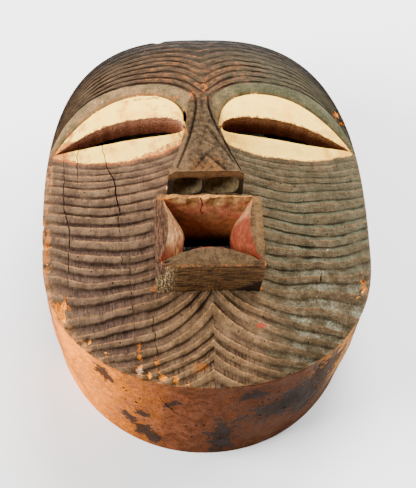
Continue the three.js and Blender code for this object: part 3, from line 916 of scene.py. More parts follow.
def mouth_box():
    """Square sections from the root to a front with a rounded, worn edge, then
    shrinking rings that close the front. One lower corner has splintered off."""
    level = np.append(np.linspace(0, 1, MOUTH_SIDE_RINGS), np.ones(MOUTH_FRONT_RINGS))[:, None]
    inward = np.linspace(0, MOUTH_FRONT_SHRINK, MOUTH_FRONT_RINGS + 1)[1:]
    shrink = np.append(np.zeros(MOUTH_SIDE_RINGS), inward)[:, None]
    z = MOUTH_ROOT_Z + (MOUTH_FRONT_Z - MOUTH_ROUNDING - MOUTH_ROOT_Z) * level
    z = z + MOUTH_ROUNDING * np.sqrt(np.clip(shrink / 2.2, 0, 1))
    slim = MOUTH_TAPER * (1 - level) + shrink
    x, y = square_ring(MOUTH_TOP_HALF - slim, MOUTH_BOTTOM_HALF - slim,
                       MOUTH_BOTTOM_Y + shrink, MOUTH_TOP_Y - shrink, 0 * z, 0 * z)
    height = (y - MOUTH_BOTTOM_Y) / (MOUTH_TOP_Y - MOUTH_BOTTOM_Y)
    y = y - MOUTH_TOP_SLANT * x / MOUTH_TOP_HALF * height
    worn = 0.45 * wear(x + z, y - z, 12, seed=61) + 0.2 * wear(x, y + z, 5, seed=62)
    worn = worn * (1 + 1.3 * smooth(-38, -32, y) * smooth(182, 197, z))
    ragged = 1 + 0.3 * waves(x + y, z, 4, seed=63)
    corner = smooth(9, 2, np.hypot(x + MOUTH_BOTTOM_HALF, y - MOUTH_BOTTOM_Y) * ragged)
    worn = worn + SPLINTER_DEPTH * corner * smooth(176, 190, z)
    x = x * (1 - worn / MOUTH_TOP_HALF)
    y = y - np.sign(y - MOUTH_MIDDLE_Y) * worn * 0.6
    return closed_tube("mouth_box", FEATURE_X + x, y, z + 0 * x - 0.5 * worn * (shrink > 0))


def funnel():
    """The hollow of the mouth: each number of a section follows its own smooth
    curve of height, so the lips swell inward on the way to the throat."""
    z = np.concatenate([[100, 130], np.linspace(150, 203, 40)])[:, None]
    x, y = square_ring(*curves(FUNNEL_SECTIONS, z))
    cut = 0.5 * waves(x + z, y - z, 9, seed=64) * smooth(155, 170, z)
    rim = 1.3 * waves(x, z, 11, seed=65) * smooth(-45, -38, y) * smooth(185, 199, z)
    x, y = x + 0.7 * cut, y + 0.7 * cut + rim
    return closed_tube("funnel", FEATURE_X + x, y, z + 0 * x)


print("mouth box:", 2 * MOUTH_TOP_HALF, "mm wide,", MOUTH_TOP_Y - MOUTH_BOTTOM_Y, "mm tall")

# %% [markdown]
# ## Hollow and slits
#
# The back is hollowed to a shell about as thick as a finger is wide, with a little
# more wood left behind the mouth. The slits run between the lids and open into
# the hollow.

# %% Hollow and slits
RIM_THICKNESS = 13
WALL_THICKNESS = 14
FACE_THICKNESS = 17
HOLLOW_RINGS = 26
HOLLOW_WALL_HEIGHTS = (-10, 0, 35, 70)
HOLLOW_STEP, HOLLOW_RISE = 84, 75  # where the hollow's roof starts, and its rise
MOUTH_BACKING = (6, -45, 35, 30)  # added thickness, y, reach along x, reach along y
SLIT_INNER_X = 16.3
SLIT_OUTER_X = 124
SLIT_RISE = 9.5
SLIT_FALL = 8.5
SLIT_DROOP = 1.2
SLIT_UPPER_LEAF = (0.42, 3.4, 1.8)
SLIT_LOWER_LEAF = (0.52, 2.6, 1.8)
SLIT_DEPTH = 55
SLIT_END_DEPTH = 12


def hollow():
    """Rings of the rim's oval, drawn in by the wall and then shrinking under the
    dome, one face thickness below it."""
    angle = np.linspace(0, 2 * np.pi, 120, endpoint=False)[None, :]
    rx, ry = rim_point(angle)
    k = (np.arange(HOLLOW_RINGS) + 0.6) / (HOLLOW_RINGS + 0.4)
    share = np.concatenate([np.ones(4), np.cos(0.5 * np.pi * k)])[:, None]
    gaps = (RIM_THICKNESS, WALL_THICKNESS, WALL_THICKNESS + 1)
    gap = np.repeat(gaps, [3, 1, HOLLOW_RINGS])[:, None]
    x = rx * (1 - gap / RIM_HALF_WIDTH) * share
    y = RIM_WIDEST_Y + (ry - RIM_WIDEST_Y) * (1 - 1.25 * gap / RIM_CROWN_REACH) * share
    roof = HOLLOW_STEP + HOLLOW_RISE * np.sqrt(1 - share**2)
    shell = np.minimum(dome(x, y) - FACE_THICKNESS, roof)
    shell -= 1.2 * wear(x, y, 18, seed=71)
    more, at, wide, tall = MOUTH_BACKING
    shell -= more * np.exp(-(((x - FEATURE_X) / wide) ** 2) - ((y - at) / tall) ** 2)
    z = np.vstack([np.array(HOLLOW_WALL_HEIGHTS)[:, None] + 0 * x[:4], shell[4:]])
    return closed_tube("hollow", x, y, z)


def along_slit(x):
    """0 at the inner end of a slit, 1 at its outer end."""
    return (from_nose(x) - SLIT_INNER_X) / (SLIT_OUTER_X - SLIT_INNER_X)


def slit_edges(x):
    """Upper and lower edge of a slit: leaf shapes, blunt toward the nose. The
    right slit droops a little, and the left one rises as much."""
    u = along_slit(x)
    droop = SLIT_DROOP * np.sign(x) * np.sin(np.pi * np.clip(u, 0, 1) ** 1.4)
    upper = EYE_LINE_Y + 1 + SLIT_RISE * leaf(u, *SLIT_UPPER_LEAF)
    lower = EYE_LINE_Y + 0.5 - SLIT_FALL * leaf(u, *SLIT_LOWER_LEAF)
    return upper - droop, lower - droop


def eye_slit(side):
    """The slit's outline, extruded from behind the face to in front of it, and
    shallow at both corners."""
    u = np.sin(np.linspace(0, np.pi / 2, 60)) ** 2
    out = SLIT_INNER_X + (SLIT_OUTER_X - SLIT_INNER_X) * u
    x = side * out - EYE_SHIFT * (1 - out / TIP_X)
    upper, lower = slit_edges(x)
    upper = upper + 0.3 * waves(x, side * 9 + 0 * x, 9, seed=81) * np.sin(np.pi * u)
    ring_x = np.concatenate([x, x[::-1]])
    ring_y = np.concatenate([lower, upper[::-1]])
    if side < 0:
        ring_x, ring_y = ring_x[::-1], ring_y[::-1]
    sink = np.sin(np.pi * np.clip(along_slit(ring_x), 0, 1))
    floor_z = dome(ring_x, EYE_LINE_Y + 0 * ring_x) - SLIT_END_DEPTH
    floor_z = floor_z - (SLIT_DEPTH - SLIT_END_DEPTH) * sink
    level = np.linspace(0, 1, 20)[:, None]
    z = floor_z + (200 - floor_z) * level
    return closed_tube("slit", ring_x + 0 * z, ring_y + 0 * z, z)


print("thickness of the shell:", RIM_THICKNESS, "to", FACE_THICKNESS, "mm")

# %% [markdown]
# ## Cracks and holes
#
# Old wood has cracked along its grain, from chin to forehead, and beetles have
# left round holes. Thin wedges cut the cracks and small cones the holes. On the
# wall under the chin, the cracks run along the edge and the holes are in groups.

# %% Cracks and holes
CRACK_START = 6  # how far above the surface a wedge starts
CRACK_FLARE = 1.1  # its reach there to each side, for a width of 1

# Each crack: a path of x and y, width, depth.
CRACKS = [
    ([(-85, 43), (-82, 26), (-76, 9), (-75, -4), (-72, -17), (-73, -28), (-72, -41)], 0.95, 7),
    ([(-71, -50), (-71, -66), (-73, -75)], 0.6, 4), ([(-86, 50), (-85, 42)], 0.5, 4),
    ([(-117, 54), (-118, -3), (-113, -24), (-114, -54), (-116, -85), (-116, -104)], 0.85, 5),
    ([(-106, 52), (-106, 14)], 0.7, 5), ([(-96, 40), (-94, 24)], 0.45, 3),
    ([(-66, -42), (-65, -72), (-64, -97), (-62, -113), (-63, -137)], 0.6, 4),
    ([(-49, -102), (-47, -122), (-45, -138), (-44, -151)], 0.8, 5),
    ([(90, -71), (89, -83)], 1.1, 5), ([(-17, 71), (-16, 64), (-17, 58)], 2.0, 9),
]
# On the wall a place is given as x and the share of the way down from the edge.
WALL_CRACKS = [
    ([(-44, 0.2), (-35, 0.32), (-27, 0.42)], 0.9, 5), ([(-14, 0.17), (0, 0.24)], 0.9, 5),
]
WORM_HOLES = 90
# Each group of holes in the wall: x, share, spread in millimetres, count.
WALL_HOLES = [(-66, 0.3, 9, 8), (-12, 0.62, 11, 12), (74, 0.3, 20, 18), (30, 0.5, 26, 8)]
HOLE_RADIUS, HOLE_START, HOLE_DEPTH = 0.9, 3, 6


def taper_along(share):
    """1 over most of a crack and falling to nearly 0 at both ends: the root of a
    sine of the share of its length."""
    return np.sin(np.pi * (0.03 + 0.94 * share)) ** 0.5


def crack(path, width, depth):
    """A wedge along a path: widest at the surface, tapering at both ends."""
    path = np.array(path, float)
    run = np.concatenate([[0], np.cumsum(np.hypot(*np.diff(path, axis=0).T))])
    at = np.arange(0, run[-1], 2.0)
    seed = int(width * 100) + len(path)
    x = np.interp(at, run, path[:, 0]) + 0.5 * waves(at, 0 * at, 7, seed)
    y = np.interp(at, run, path[:, 1])
    taper = taper_along(at / run[-1])
    side = CRACK_FLARE * width * taper
    top = dome(x, y) + CRACK_START
    low = dome(x, y) - depth * taper
    sections = ([x - side, x, x + side], [y, y, y], [top, low, top])
    return closed_tube("crack", *(np.column_stack(part) for part in sections))


def wall_place(x, share):
    """Points of the wall at the chin, and the level direction out of it at each."""
    left = 1 - np.abs(x / FACE_HALF_WIDTH) ** CHIN_FULLNESS
    y = WIDEST_Y - CHIN_REACH * left ** (1 / CHIN_FULLNESS)
    rx, ry = rim_under(x, y)
    z = curve(EDGE_HEIGHTS, y) * (1 - share)
    place = np.stack([x + (rx - x) * share, y + (ry - y) * share, z], axis=1)
    out = place * (1, 1, 0) - (0, WIDEST_Y, 0)
    return place, out / np.linalg.norm(out, axis=1, keepdims=True)


def level_along(out):
    """The level direction along the wall, at right angles to the one out of it."""
    return np.stack([-out[:, 1], out[:, 0], 0 * out[:, 0]], axis=1)


def wall_crack(path, width, depth):
    """The same wedge in the wall, opening along the wall to both sides."""
    path = np.array(path, float)
    at = np.linspace(0, 1, 16)
    steps = np.linspace(0, 1, len(path))
    x = np.interp(at, steps, path[:, 0]) + 0.6 * waves(at * 30, 0 * at, 7, len(path))
    place, out = wall_place(x, np.interp(at, steps, path[:, 1]))
    taper = taper_along(at)[:, None]
    side = level_along(out) * width * CRACK_FLARE * taper
    start = place + CRACK_START * out
    rows = np.stack([start - side, place - depth * taper * out, start + side])
    return closed_tube("wall_crack", *rows.transpose(2, 1, 0))


def cones(name, place, out, level, rise, size):
    """Small six-sided cones: each starts above the surface and ends in a point."""
    turn = np.linspace(0, 2 * np.pi, 6, endpoint=False)[None, :, None]
    around = level[:, None] * np.cos(turn) + rise[:, None] * np.sin(turn)
    top, tip = place + HOLE_START * out, place - HOLE_DEPTH * out
    ring = top[:, None] + size[:, None, None] * around
    points = np.concatenate([ring, np.stack([tip, top], axis=1)], axis=1)
    base = 8 * np.arange(len(place))[:, None]
    k = np.arange(6)[None, :]
    after = (k + 1) % 6
    sides = np.dstack([base + after, base + k, base + 6 + 0 * k]).reshape(-1, 3)
    caps = np.dstack([base + k, base + after, base + 7 + 0 * k]).reshape(-1, 3)
    made, _ = mesh_object(name, points, [sides, caps])
    return made


def alone(places, gap):
    """Which places are farther than the gap from every other one."""
    far = np.linalg.norm(places[:, None] - places, axis=2) + np.eye(len(places)) * 99
    return far.min(axis=1) > gap


def worm_holes():
    """Holes at random places of the face, kept apart from one another."""
    rng = np.random.default_rng(17)
    x = rng.uniform(-115, 115, 4 * WORM_HOLES)
    y = rng.uniform(-150, 10, 4 * WORM_HOLES)
    on_face = (np.abs(x) < face_half(y) - 8) & alone(np.stack([x, y], axis=1), 4)
    on_face &= (np.abs(x - FEATURE_X) > 46) | (y < -98)
    x, y = x[on_face][:WORM_HOLES], y[on_face][:WORM_HOLES]
    size = HOLE_RADIUS * rng.uniform(0.6, 1.3, x.shape)
    across, up, out = (np.tile(v, (len(x), 1)) for v in ((1, 0, 0), (0, 1, 0), (0, 0, 1)))
    return cones("worm_holes", np.stack([x, y, dome(x, y)], axis=1), out, across, up, size)


def wall_holes():
    """Holes in the wall, spread at random round the middle of each group."""
    rng = np.random.default_rng(23)
    spots = np.repeat(np.array(WALL_HOLES)[:, :3], [c[3] for c in WALL_HOLES], axis=0)
    x = spots[:, 0] + spots[:, 2] * rng.uniform(-1, 1, len(spots))
    share = np.clip(spots[:, 1] + spots[:, 2] / 100 * rng.uniform(-1, 1, len(spots)), 0.1, 0.9)
    place, out = wall_place(x, share)
    kept = alone(place, 3)
    place, out = place[kept], out[kept]
    rise = np.tile((0, 0, 1), (len(place), 1))
    size = HOLE_RADIUS * rng.uniform(1.1, 2.0, len(place))
    return cones("wall_holes", place, out, level_along(out), rise, size)


print("cracks:", len(CRACKS) + len(WALL_CRACKS), "and holes on face and wall")

# %% [markdown]
# ## Joining and cutting
#
# Nose and mouth are joined to the block, then every hollow is cut out of it, one
# after another. A stand-in material for each zone goes along, so the faces that
# a cut leaves behind keep the number of the tool that made them.

# %% Join and cut
zone_materials = [bpy.data.materials.new(f"zone {number}") for number in range(CRACK + 1)]
for zone_material in zone_materials:
    block.data.materials.append(zone_material)
block.data.polygons.foreach_set("material_index", block_zones)

cuts = [(hollow(), HOLLOW), (funnel(), FUNNEL)]
for side in (-1, 1):
    cuts += [(nostril(side), NOSTRIL), (eye_slit(side), SLIT)]
cuts += [(crack(*sizes), CRACK) for sizes in CRACKS]
cuts += [(wall_crack(*sizes), CRACK) for sizes in WALL_CRACKS]
cuts += [(worm_holes(), CRACK), (wall_holes(), CRACK)]
tools = [("UNION", nose(), NOSE), ("UNION", mouth_box(), MOUTH)]
tools += [("DIFFERENCE", tool, number) for tool, number in cuts]
for operation, tool, number in tools:
    tool.data.materials.append(zone_materials[number])
    step = block.modifiers.new(tool.name, "BOOLEAN")
    step.object, step.operation, step.solver = tool, operation, "MANIFOLD"

bpy.context.view_layer.update()
carved = bpy.data.meshes.new_from_object(
    block.evaluated_get(bpy.context.evaluated_depsgraph_get())
)
block.modifiers.clear()
block.data = carved
for _, tool, _ in tools:
    bpy.data.objects.remove(tool)
print("carved mask:", len(carved.vertices), "points", len(carved.polygons), "faces")

# %% [markdown]
# ## What the paint needs to know
#
# The joined mesh has lost the grid it came from, so a few numbers are worked out
# again for each point and kept as attributes: the row of carving, how far inside
# a lid and how far from the left edge it lies, how deep a chip is, and how
# stained the wall is. Named places give the spots of orange, red and pale wood,
# which are kept off the sides of the nose and the mouth. The material reads all
# of them and sharpens them with its own fine noise.

# %% Attributes
# Each stain of the wall: x, share of the way down, and its reach along both.
STAINS = [
    (-87, 0.20, 8, 0.09), (-67, 0.63, 5, 0.06), (-55, 0.48, 8, 0.05), (-55, 0.79, 12, 0.12),
    (-44, 0.86, 8, 0.06), (-34, 0.26, 11, 0.05), (10, 0.76, 13, 0.26), (60, 0.42, 30, 0.16),
    (96, 0.26, 18, 0.22), (84, 0.66, 16, 0.14), (34, 0.12, 16, 0.07),
]
# Each spot: x, y, and its reach along both.
ORANGE_SPOTS = [
    (-59, -138, 2.5, 9), (-45, -147, 1.8, 7), (-11, -152, 6, 4), (2, 95, 2.2, 5),
    (-9, 92, 2, 4), (-4, 101, 4, 2), (-117, 60, 3, 2.5), (-121, -93, 6, 11),
    (-133, -34, 3, 26), (-41, 86, 34, 2), (-84, -136, 3, 2.5), (115, 89, 2.5, 4),
    (127, -76, 3, 6), (-21, 48, 3, 3), (-17, 40, 2, 6), (-45, -90, 4, 4), (39, -91, 3, 2),
    (-33, -5, 2, 4), (-36, -34, 4, 2),
]
RED_SPOTS = [(39, -121, 7, 2.5)]
PALE_SPOTS = [
    (-59, -151, 3, 3), (-91, 95, 1.6, 1.2), (-84, 94, 1.6, 1.2), (-34, -3, 1.4, 2),
    (97, -51, 1.6, 1.2),
]


def spots(x, y, places):
    """Sum of soft oval spots, each with a place and a reach along x and y."""
    total = 0 * x
    for sx, sy, wide, tall in places:
        total = total + np.exp(-(((x - sx) / wide) ** 2) - ((y - sy) / tall) ** 2)
    return total


def lid_inside(x, y):
    """Millimetres inside a lid's outline, the smaller of the gaps to its two
    edges; below zero outside, and beyond either corner of the eye."""
    gap = np.minimum(upper_lid(x) - y, y - lower_lid(x))
    ends = np.minimum(from_nose(x) - EYE_INNER_X, EYE_OUTER_X - from_nose(x))
    return np.where(ends > 0, gap, np.minimum(ends, -np.abs(y - EYE_LINE_Y) * 0.1 - 0.2))


points = np.empty(3 * len(carved.vertices))
carved.vertices.foreach_get("co", points)
px, py, pz = (points.reshape(-1, 3) / MM).T
zone_of_face = np.empty(len(carved.polygons), int)
carved.polygons.foreach_get("material_index", zone_of_face)


def keep(name, domain, values):
    """Stores one number for each point or face of the carved mesh."""
    layer = carved.attributes.new(name, "FLOAT", domain)
    layer.data.foreach_set("value", np.asarray(values, np.float32))


row = row_at(px, py)
phase, start, cut, crest, under = groove_parts(row, px)
on_rows = (row < BROW_ROW) | (row > LOWER_LID_ROW)
sunk = dome(px, py) - pz
slit_top, slit_low = slit_edges(px)
below_slit = py < EYE_LINE_Y
keep("zone", "FACE", zone_of_face)
keep("row", "POINT", row)
deep = np.clip(1.3 * carving_strength(row, px, py), 0, 1)
deep = deep * (0.3 + 0.7 * np.where(px < 0, smooth(5, 24, face_half(py) + px), 1))
keep("groove", "POINT", cut * on_rows * deep)
keep("low", "POINT", np.clip(phase / start, 0, 1) * (1 - cut) * on_rows)
keep("crest", "POINT", crest * on_rows)
keep("under", "POINT", under * on_rows * deep)
keep("lid", "POINT", lid_inside(px, py))
keep("slit", "POINT", np.where(below_slit, slit_low - py, py - slit_top))
keep("sunk", "POINT", sunk)
keep("incised", "POINT", nose_cut(px, py))
keep("margin", "POINT", np.where(py < 44, face_half(py) + px, 99))
keep("chip", "POINT", chip_depth(px, py) * smooth(12, 4, sunk))
keep("stain", "POINT", spots(px, 1 - pz / 125, STAINS) * (py < -60))
outside = (sunk < 14) & ((py > -20) | (pz < 163) | (pz > 192))
for name, places in (("orange", ORANGE_SPOTS), ("red", RED_SPOTS), ("pale", PALE_SPOTS)):
    keep(name, "POINT", spots(px, py, places) * outside)
print("faces by zone:", np.bincount(zone_of_face))

# %% [markdown]
# ## A short way to write materials
#
# A material is arithmetic on numbers that change over the surface. The first
# class below wraps one such number, so that plain Python sums become Math nodes.
# The second makes every other node by one method that takes a node's type, its
# settings and its inputs. Colours are written as on a paint chart, from 0 to 255,
# and are laid on one another like coats of paint.

# %% Shader helpers


class Number:
    """A number that changes over the surface; arithmetic on it adds Math nodes."""

    def __init__(self, paint, socket):
        self.paint, self.socket = paint, socket

    def math(self, operation, *values):
        inputs = dict(enumerate(values))
        found = self.paint.node("ShaderNodeMath", {"operation": operation}, inputs)
        return Number(self.paint, found.outputs[0])

    def __add__(self, other):
        return self.math("ADD", self, other)

    def __sub__(self, other):
        return self.math("SUBTRACT", self, other)

    def __rsub__(self, other):
        return self.math("SUBTRACT", other, self)

    def __mul__(self, other):
        return self.math("MULTIPLY", self, other)

    def __truediv__(self, other):
        return self.math("DIVIDE", self, other)

    __radd__, __rmul__ = __add__, __mul__

    def size(self):
        """The number without its sign."""
        return self.math("ABSOLUTE", self)

    def is_about(self, value):
        """1 where the number is within a half of the value, 0 elsewhere."""
        return self.math("COMPARE", self, value, 0.5)

    def step(self, low, high):
        """0 below low, 1 above high, an S curve between; low may be above high."""
        found = self.paint.node(
            "ShaderNodeMapRange", {"interpolation_type": "SMOOTHSTEP"},
            {"Value": self, "From Min": low, "From Max": high},
        )
        return Number(self.paint, found.outputs["Result"])


def light(paint):
    """A colour of the paint chart as light for the shader; a socket stays itself."""
    if not isinstance(paint, tuple):
        return paint
    parts = np.array(paint) / 255
    linear = np.where(parts <= 0.04045, parts / 12.92, ((parts + 0.055) / 1.055) ** 2.4)
    return (*linear.tolist(), 1.0)


class Paint:
    """A material under construction, with textures in millimetres of the object."""

    def __init__(self, name):
        self.material = bpy.data.materials.new(name)
        self.material.use_nodes = True
        self.tree = self.material.node_tree
        self.shader = self.tree.nodes["Principled BSDF"]
        place = self.node("ShaderNodeTexCoord").outputs["Object"]
        self.place = self.scaled(place, (1 / MM,) * 3)

    def node(self, kind, settings=None, inputs=None):
        """A node of a type, with its settings, and inputs that are set or linked."""
        made = self.tree.nodes.new(kind)
        for key, value in (settings or {}).items():
            setattr(made, key, value)
        for key, value in (inputs or {}).items():
            value = getattr(value, "socket", value)
            if isinstance(value, bpy.types.NodeSocket):
                self.tree.links.new(value, made.inputs[key])
            else:
                made.inputs[key].default_value = value
        return made

    def scaled(self, vector, by):
        return self.node("ShaderNodeVectorMath", {"operation": "MULTIPLY"},
                         {0: vector, 1: by}).outputs[0]

    def axis(self, which):
        """The place along X, Y or Z, in millimetres."""
        found = self.node("ShaderNodeSeparateXYZ", {}, {0: self.place})
        return Number(self, found.outputs[which])

    def attribute(self, name):
        """A number that the mesh keeps for each point or face."""
        found = self.node("ShaderNodeAttribute", {"attribute_name": name})
        return Number(self, found.outputs["Fac"])

    def noise(self, size, stretch=(1, 1, 1), detail=3, rough=0.55, shift=0, place=None):
        """Cloudy noise with lumps of about the given size in millimetres."""
        place = self.scaled(place or self.place, tuple(1 / (size * s) for s in stretch))
        moved = self.node("ShaderNodeVectorMath", {"operation": "ADD"},
                          {0: place, 1: (shift, shift * 0.7, shift * 1.3)}).outputs[0]
        found = self.node("ShaderNodeTexNoise", {},
                          {"Vector": moved, "Scale": 1, "Detail": detail, "Roughness": rough})
        return Number(self, found.outputs["Fac"])

    def shade(self, paint, strength):
        """The paint made lighter or darker by a number."""
        paint = light(paint)[:3] if isinstance(paint, tuple) else paint
        return self.node("ShaderNodeVectorMath", {"operation": "SCALE"},
                         {0: paint, "Scale": strength}).outputs[0]

    def mix(self, under, over, mask):
        """The paint over laid on the paint under where the mask is 1."""
        inputs = {0: mask, 6: light(under), 7: light(over)}
        return self.node("ShaderNodeMix", {"data_type": "RGBA"}, inputs).outputs[2]

    def coats(self, paint, *coats):
        """Coats laid on a paint one after another, each with its own mask."""
        for over, mask in coats:
            paint = self.mix(paint, over, mask)
        return paint


print("orange wood as light:", np.round(light((224, 150, 95)), 3))

# %% [markdown]
# ## Grain and places
#
# Everything painted below is uneven in the same way: broad patches, blotches,
# specks, fibres along the grain and streaks across it. One noise follows the rows
# of carving, as a hand that rubs along them does. A few soft masks name the
# places: the forehead, the brow, the chin, the right side.

# %% Noises and masks
wood = Paint("carved_wood")
mix, shade, coats = wood.mix, wood.shade, wood.coats
noise, attribute = wood.noise, wood.attribute
zone, row, groove, crest = (attribute(n) for n in ("zone", "row", "groove", "crest"))
under, low, sunk = (attribute(n) for n in ("under", "low", "sunk"))
across, up, out = (wood.axis(k) for k in range(3))

broad = noise(34, detail=4).step(0.36, 0.64)
patch = noise(12, detail=4, shift=3).step(0.34, 0.66)
blotch = noise(4.5, detail=4, shift=5).step(0.33, 0.67)
speck = noise(1.6, shift=7).step(0.3, 0.7)
fibre = noise(2.2, stretch=(0.5, 5, 1.5), detail=4, rough=0.65, shift=11).step(0.3, 0.7)
streak = noise(1.3, stretch=(0.9, 6, 6), detail=2, shift=13).step(0.3, 0.7)
cross = noise(1.5, stretch=(7, 1, 1), rough=0.6, shift=17).step(0.3, 0.7)
by_row = wood.node("ShaderNodeCombineXYZ", {}, {0: across / 15, 1: row * 5}).outputs[0]
along = noise(1, detail=4, rough=0.6, place=by_row).step(0.3, 0.7)
grain = 0.45 + 0.3 * blotch + 0.42 * speck + 0.14 * streak + 0.28 * along

on_forehead = row.step(BROW_ROW + 0.02, BROW_ROW - 0.02)
above_crease = row.step(UPPER_LID_ROW + 0.3, UPPER_LID_ROW)
on_brow = row.step(BROW_ROW - 0.02, BROW_ROW + 0.04) * above_crease
right_side = across.step(-30, 50)
left_side = 1 - right_side
from_middle = (across - FEATURE_X).size()
near_middle = from_middle.step(70, 25)
on_chin = up.step(-88, -112) * near_middle


def ragged(value, patches=0, blotches=0, specks=0):
    """A number made uneven, up or down by half of each amount that is given."""
    for cloud, amount in ((patch, patches), (blotch, blotches), (speck, specks)):
        if amount:
            value = value + (cloud - 0.5) * amount
    return value


print("noises and masks:", len(wood.tree.nodes), "nodes")

# %% [markdown]
# ## Dark paint on carved wood
#
# The face was painted dark and then handled for years. The raised bands have
# worn to a warm grey brown, palest along their upper edges, partly from wear and
# partly as a painted highlight. Each band is painted darker down its lower slope
# as painted shade, with a thin painted shadow under its lower edge. The grooves
# keep the paint, purplish on one cheek and bluish on the other. Some paint is
# kept on the bands too, and the crown is painted darker still as painted shade.

# %% Face paint
band_right = coats(
    mix((60, 48, 32), (76, 60, 40), patch),
    ((64, 66, 50), up.step(-110, 0) * broad * 0.4),
)
band_high = coats(
    mix((46, 35, 25), (70, 55, 38), along),
    (mix((40, 38, 28), (59, 57, 42), along), right_side * 0.8),
    ((108, 62, 30), near_middle * row.step(3, 8) * blotch * patch * 0.7),
    # Painted shade: the crown, over the top rows, darkened nearly to black.
    ((13, 11, 7), row.step(6.4, 1.2) * 0.95),
)
band = coats(
    mix((69, 52, 38), (96, 74, 53), patch),
    (band_right, right_side),
    (mix((92, 70, 47), (120, 92, 63), patch), on_chin),
    (band_high, on_forehead),
)
ink_right = coats(
    mix((62, 57, 42), (86, 82, 62), patch),
    ((68, 77, 61), up.step(-90, -10) * (0.4 + 0.5 * patch)),
    ((124, 122, 104), up.step(-40, -100) * from_middle.step(50, 90) * patch * speck),
)
ink = coats(
    mix((44, 31, 26), (76, 56, 45), streak),
    (ink_right, right_side),
    (mix((78, 57, 41), (96, 74, 54), patch), on_chin),
    ((44, 33, 24), on_forehead),
)
brow = coats(
    mix((86, 72, 47), (106, 88, 58), patch),
    (mix((58, 57, 39), (72, 68, 46), patch), right_side),
    ((136, 88, 56), patch * speck * left_side * 0.6),
)
kept_paint = (along * 0.6 + blotch * 0.4).step(0.45, 0.75) * (1 - on_forehead) * (1 - on_chin)
# Painted shadow: a dark line under the lower edge of each raised band.
painted_shadow_line = under * (0.3 + 0.7 * blotch) * (1 - 0.8 * right_side) * (1 - 0.4 * on_chin)
# Crest lines: partly wear, partly a painted highlight along each band's upper edge.
crest_wear_and_highlight = crest * blotch * (1 - 0.7 * right_side) * (1 - 0.6 * on_forehead)
worn_crest = crest * speck * patch * broad * (1 - 0.5 * right_side)
margin = ragged(attribute("margin"), 6).step(8, 1) * blotch
at_foot = up.step(-126, -150) * near_middle * (0.3 + 0.7 * groove)
face = coats(
    # Painted shade: each band darkens down its lower slope.
    shade(band, 1.22 - 0.5 * low * (1 - 0.6 * right_side)),
    (shade(ink, 0.95), kept_paint * (0.6 - 0.3 * right_side)),
    (ink, groove * (0.7 + 0.3 * patch)),
    ((32, 21, 15), painted_shadow_line),
    ((134, 97, 62), crest_wear_and_highlight * 0.75),
    # Painted highlight, with wear, along the crests of the chin.
    ((166, 118, 76), crest * speck * on_chin * 0.8),
    (brow, on_brow),
    ((158, 106, 62), margin * 0.8),
    ((32, 19, 13), streak.step(0.5, 0.9) * at_foot * 0.8),
    ((152, 90, 40), worn_crest),
)
face = shade(face, grain)
print("with face paint:", len(wood.tree.nodes), "nodes")

# %% [markdown]
# ## White clay on the lids
#
# The lids are rubbed with white clay. It has worn through to reddish wood along
# their borders, at the outer tips and most of all under the left eye.

# %% Lids
inside_lid = ragged(attribute("lid"), 1.4, specks=0.8)
rubbed = inside_lid.step(-3.2, -1.4) * inside_lid.step(1.2, -0.2) * blotch
smudge = (patch * 0.5 + along * 0.3 + blotch * 0.2).step(0.55, 0.85)
on_lower_lid = up.step(EYE_LINE_Y - 4, EYE_LINE_Y - 8)
reach = 1.3 + (4 * across.step(-78, -42) + 4 * across.step(-106, -118)) * left_side
bare = ragged(inside_lid / reach, blotches=0.9).step(1.0, 0.5) * on_lower_lid
tip = ragged(from_middle, 24).step(92, 120)
at_slit = ragged(attribute("slit"), blotches=2, specks=2).step(1.6, 0.0)
clay = coats(
    mix((255, 210, 90), (253, 190, 66), broad * patch),
    ((190, 116, 56), smudge * (0.3 + 0.7 * left_side) * 0.5),
    (mix((136, 74, 36), (196, 124, 68), speck), bare * (0.45 + 0.5 * left_side)),
    ((134, 70, 26), inside_lid.step(1.4, 0.2) * blotch * 0.7),
    ((152, 74, 32), tip * (0.3 + 0.55 * left_side)),
    ((120, 72, 46), at_slit * up.step(EYE_LINE_Y - 2, EYE_LINE_Y + 2)),
)
clay = shade(clay, 0.93 + 0.06 * blotch + 0.05 * speck)
face = coats(
    face,
    ((124, 66, 30), rubbed * (0.12 + 0.68 * left_side)),
    (clay, inside_lid.step(-0.3, 0.3)),
)
print("with lids:", len(wood.tree.nodes), "nodes")

# %% [markdown]
# ## Raw wood of the wall
#
# The wall behind the face was never painted. Under the chin it is orange brown
# with dark patches, palest on the left and darkest on the right: partly the
# wood's own colour, partly painted light from the left and painted shade on the
# right. Its far right is lighter again, partly as painted light. Toward the
# forehead it has aged to plain brown. Every chip along its edge shows the same
# bright wood.

# %% Wall and chips
aside = ragged(up + (broad - 0.5) * 36, 24).step(-130, -50)
aged = coats(
    mix((42, 23, 12), (82, 48, 26), fibre * 0.7 + patch * 0.3),
    ((26, 19, 13), (broad * 0.6 + patch * 0.4).step(0.5, 0.8) * 0.75),
)
stained = ragged(attribute("stain"), 0.5, 0.5).step(0.35, 0.65)
raw = coats(
    # Bright on the left, dark in the middle: partly wood colour, partly painted light from the
    # left.
    mix((80, 40, 13), (234, 128, 10), across.step(-24, -112)),
    ((142, 76, 38), patch * across.step(24, -60) * across.step(-112, -70) * 0.7),
    # Darker on the right: partly wood colour, partly painted shade.
    ((74, 37, 9), across.step(0, 50)),
    # Lighter at the far right, high on the wall: partly wood colour, partly painted light.
    ((232, 150, 54), across.step(70, 120) * out.step(15, 90) * 0.85),
    ((92, 84, 56), across.step(60, 120) * patch * 0.4),
    ((60, 30, 13), fibre * (0.2 + 0.35 * across.step(-120, -50))),
    (aged, aside * 0.93),
    ((25, 17, 9), stained * 0.92),
)
pores = (speck * fibre).step(0.5, 0.9) * 0.5
raw = shade(raw, 0.58 + 0.5 * blotch + 0.5 * speck - pores)
chip_wood = mix((190, 90, 10), (246, 162, 44), fibre)
chipped = ragged(attribute("chip"), blotches=0.7, specks=0.8).step(0.8, 1.2)
print("with the wall:", len(wood.tree.nodes), "nodes")
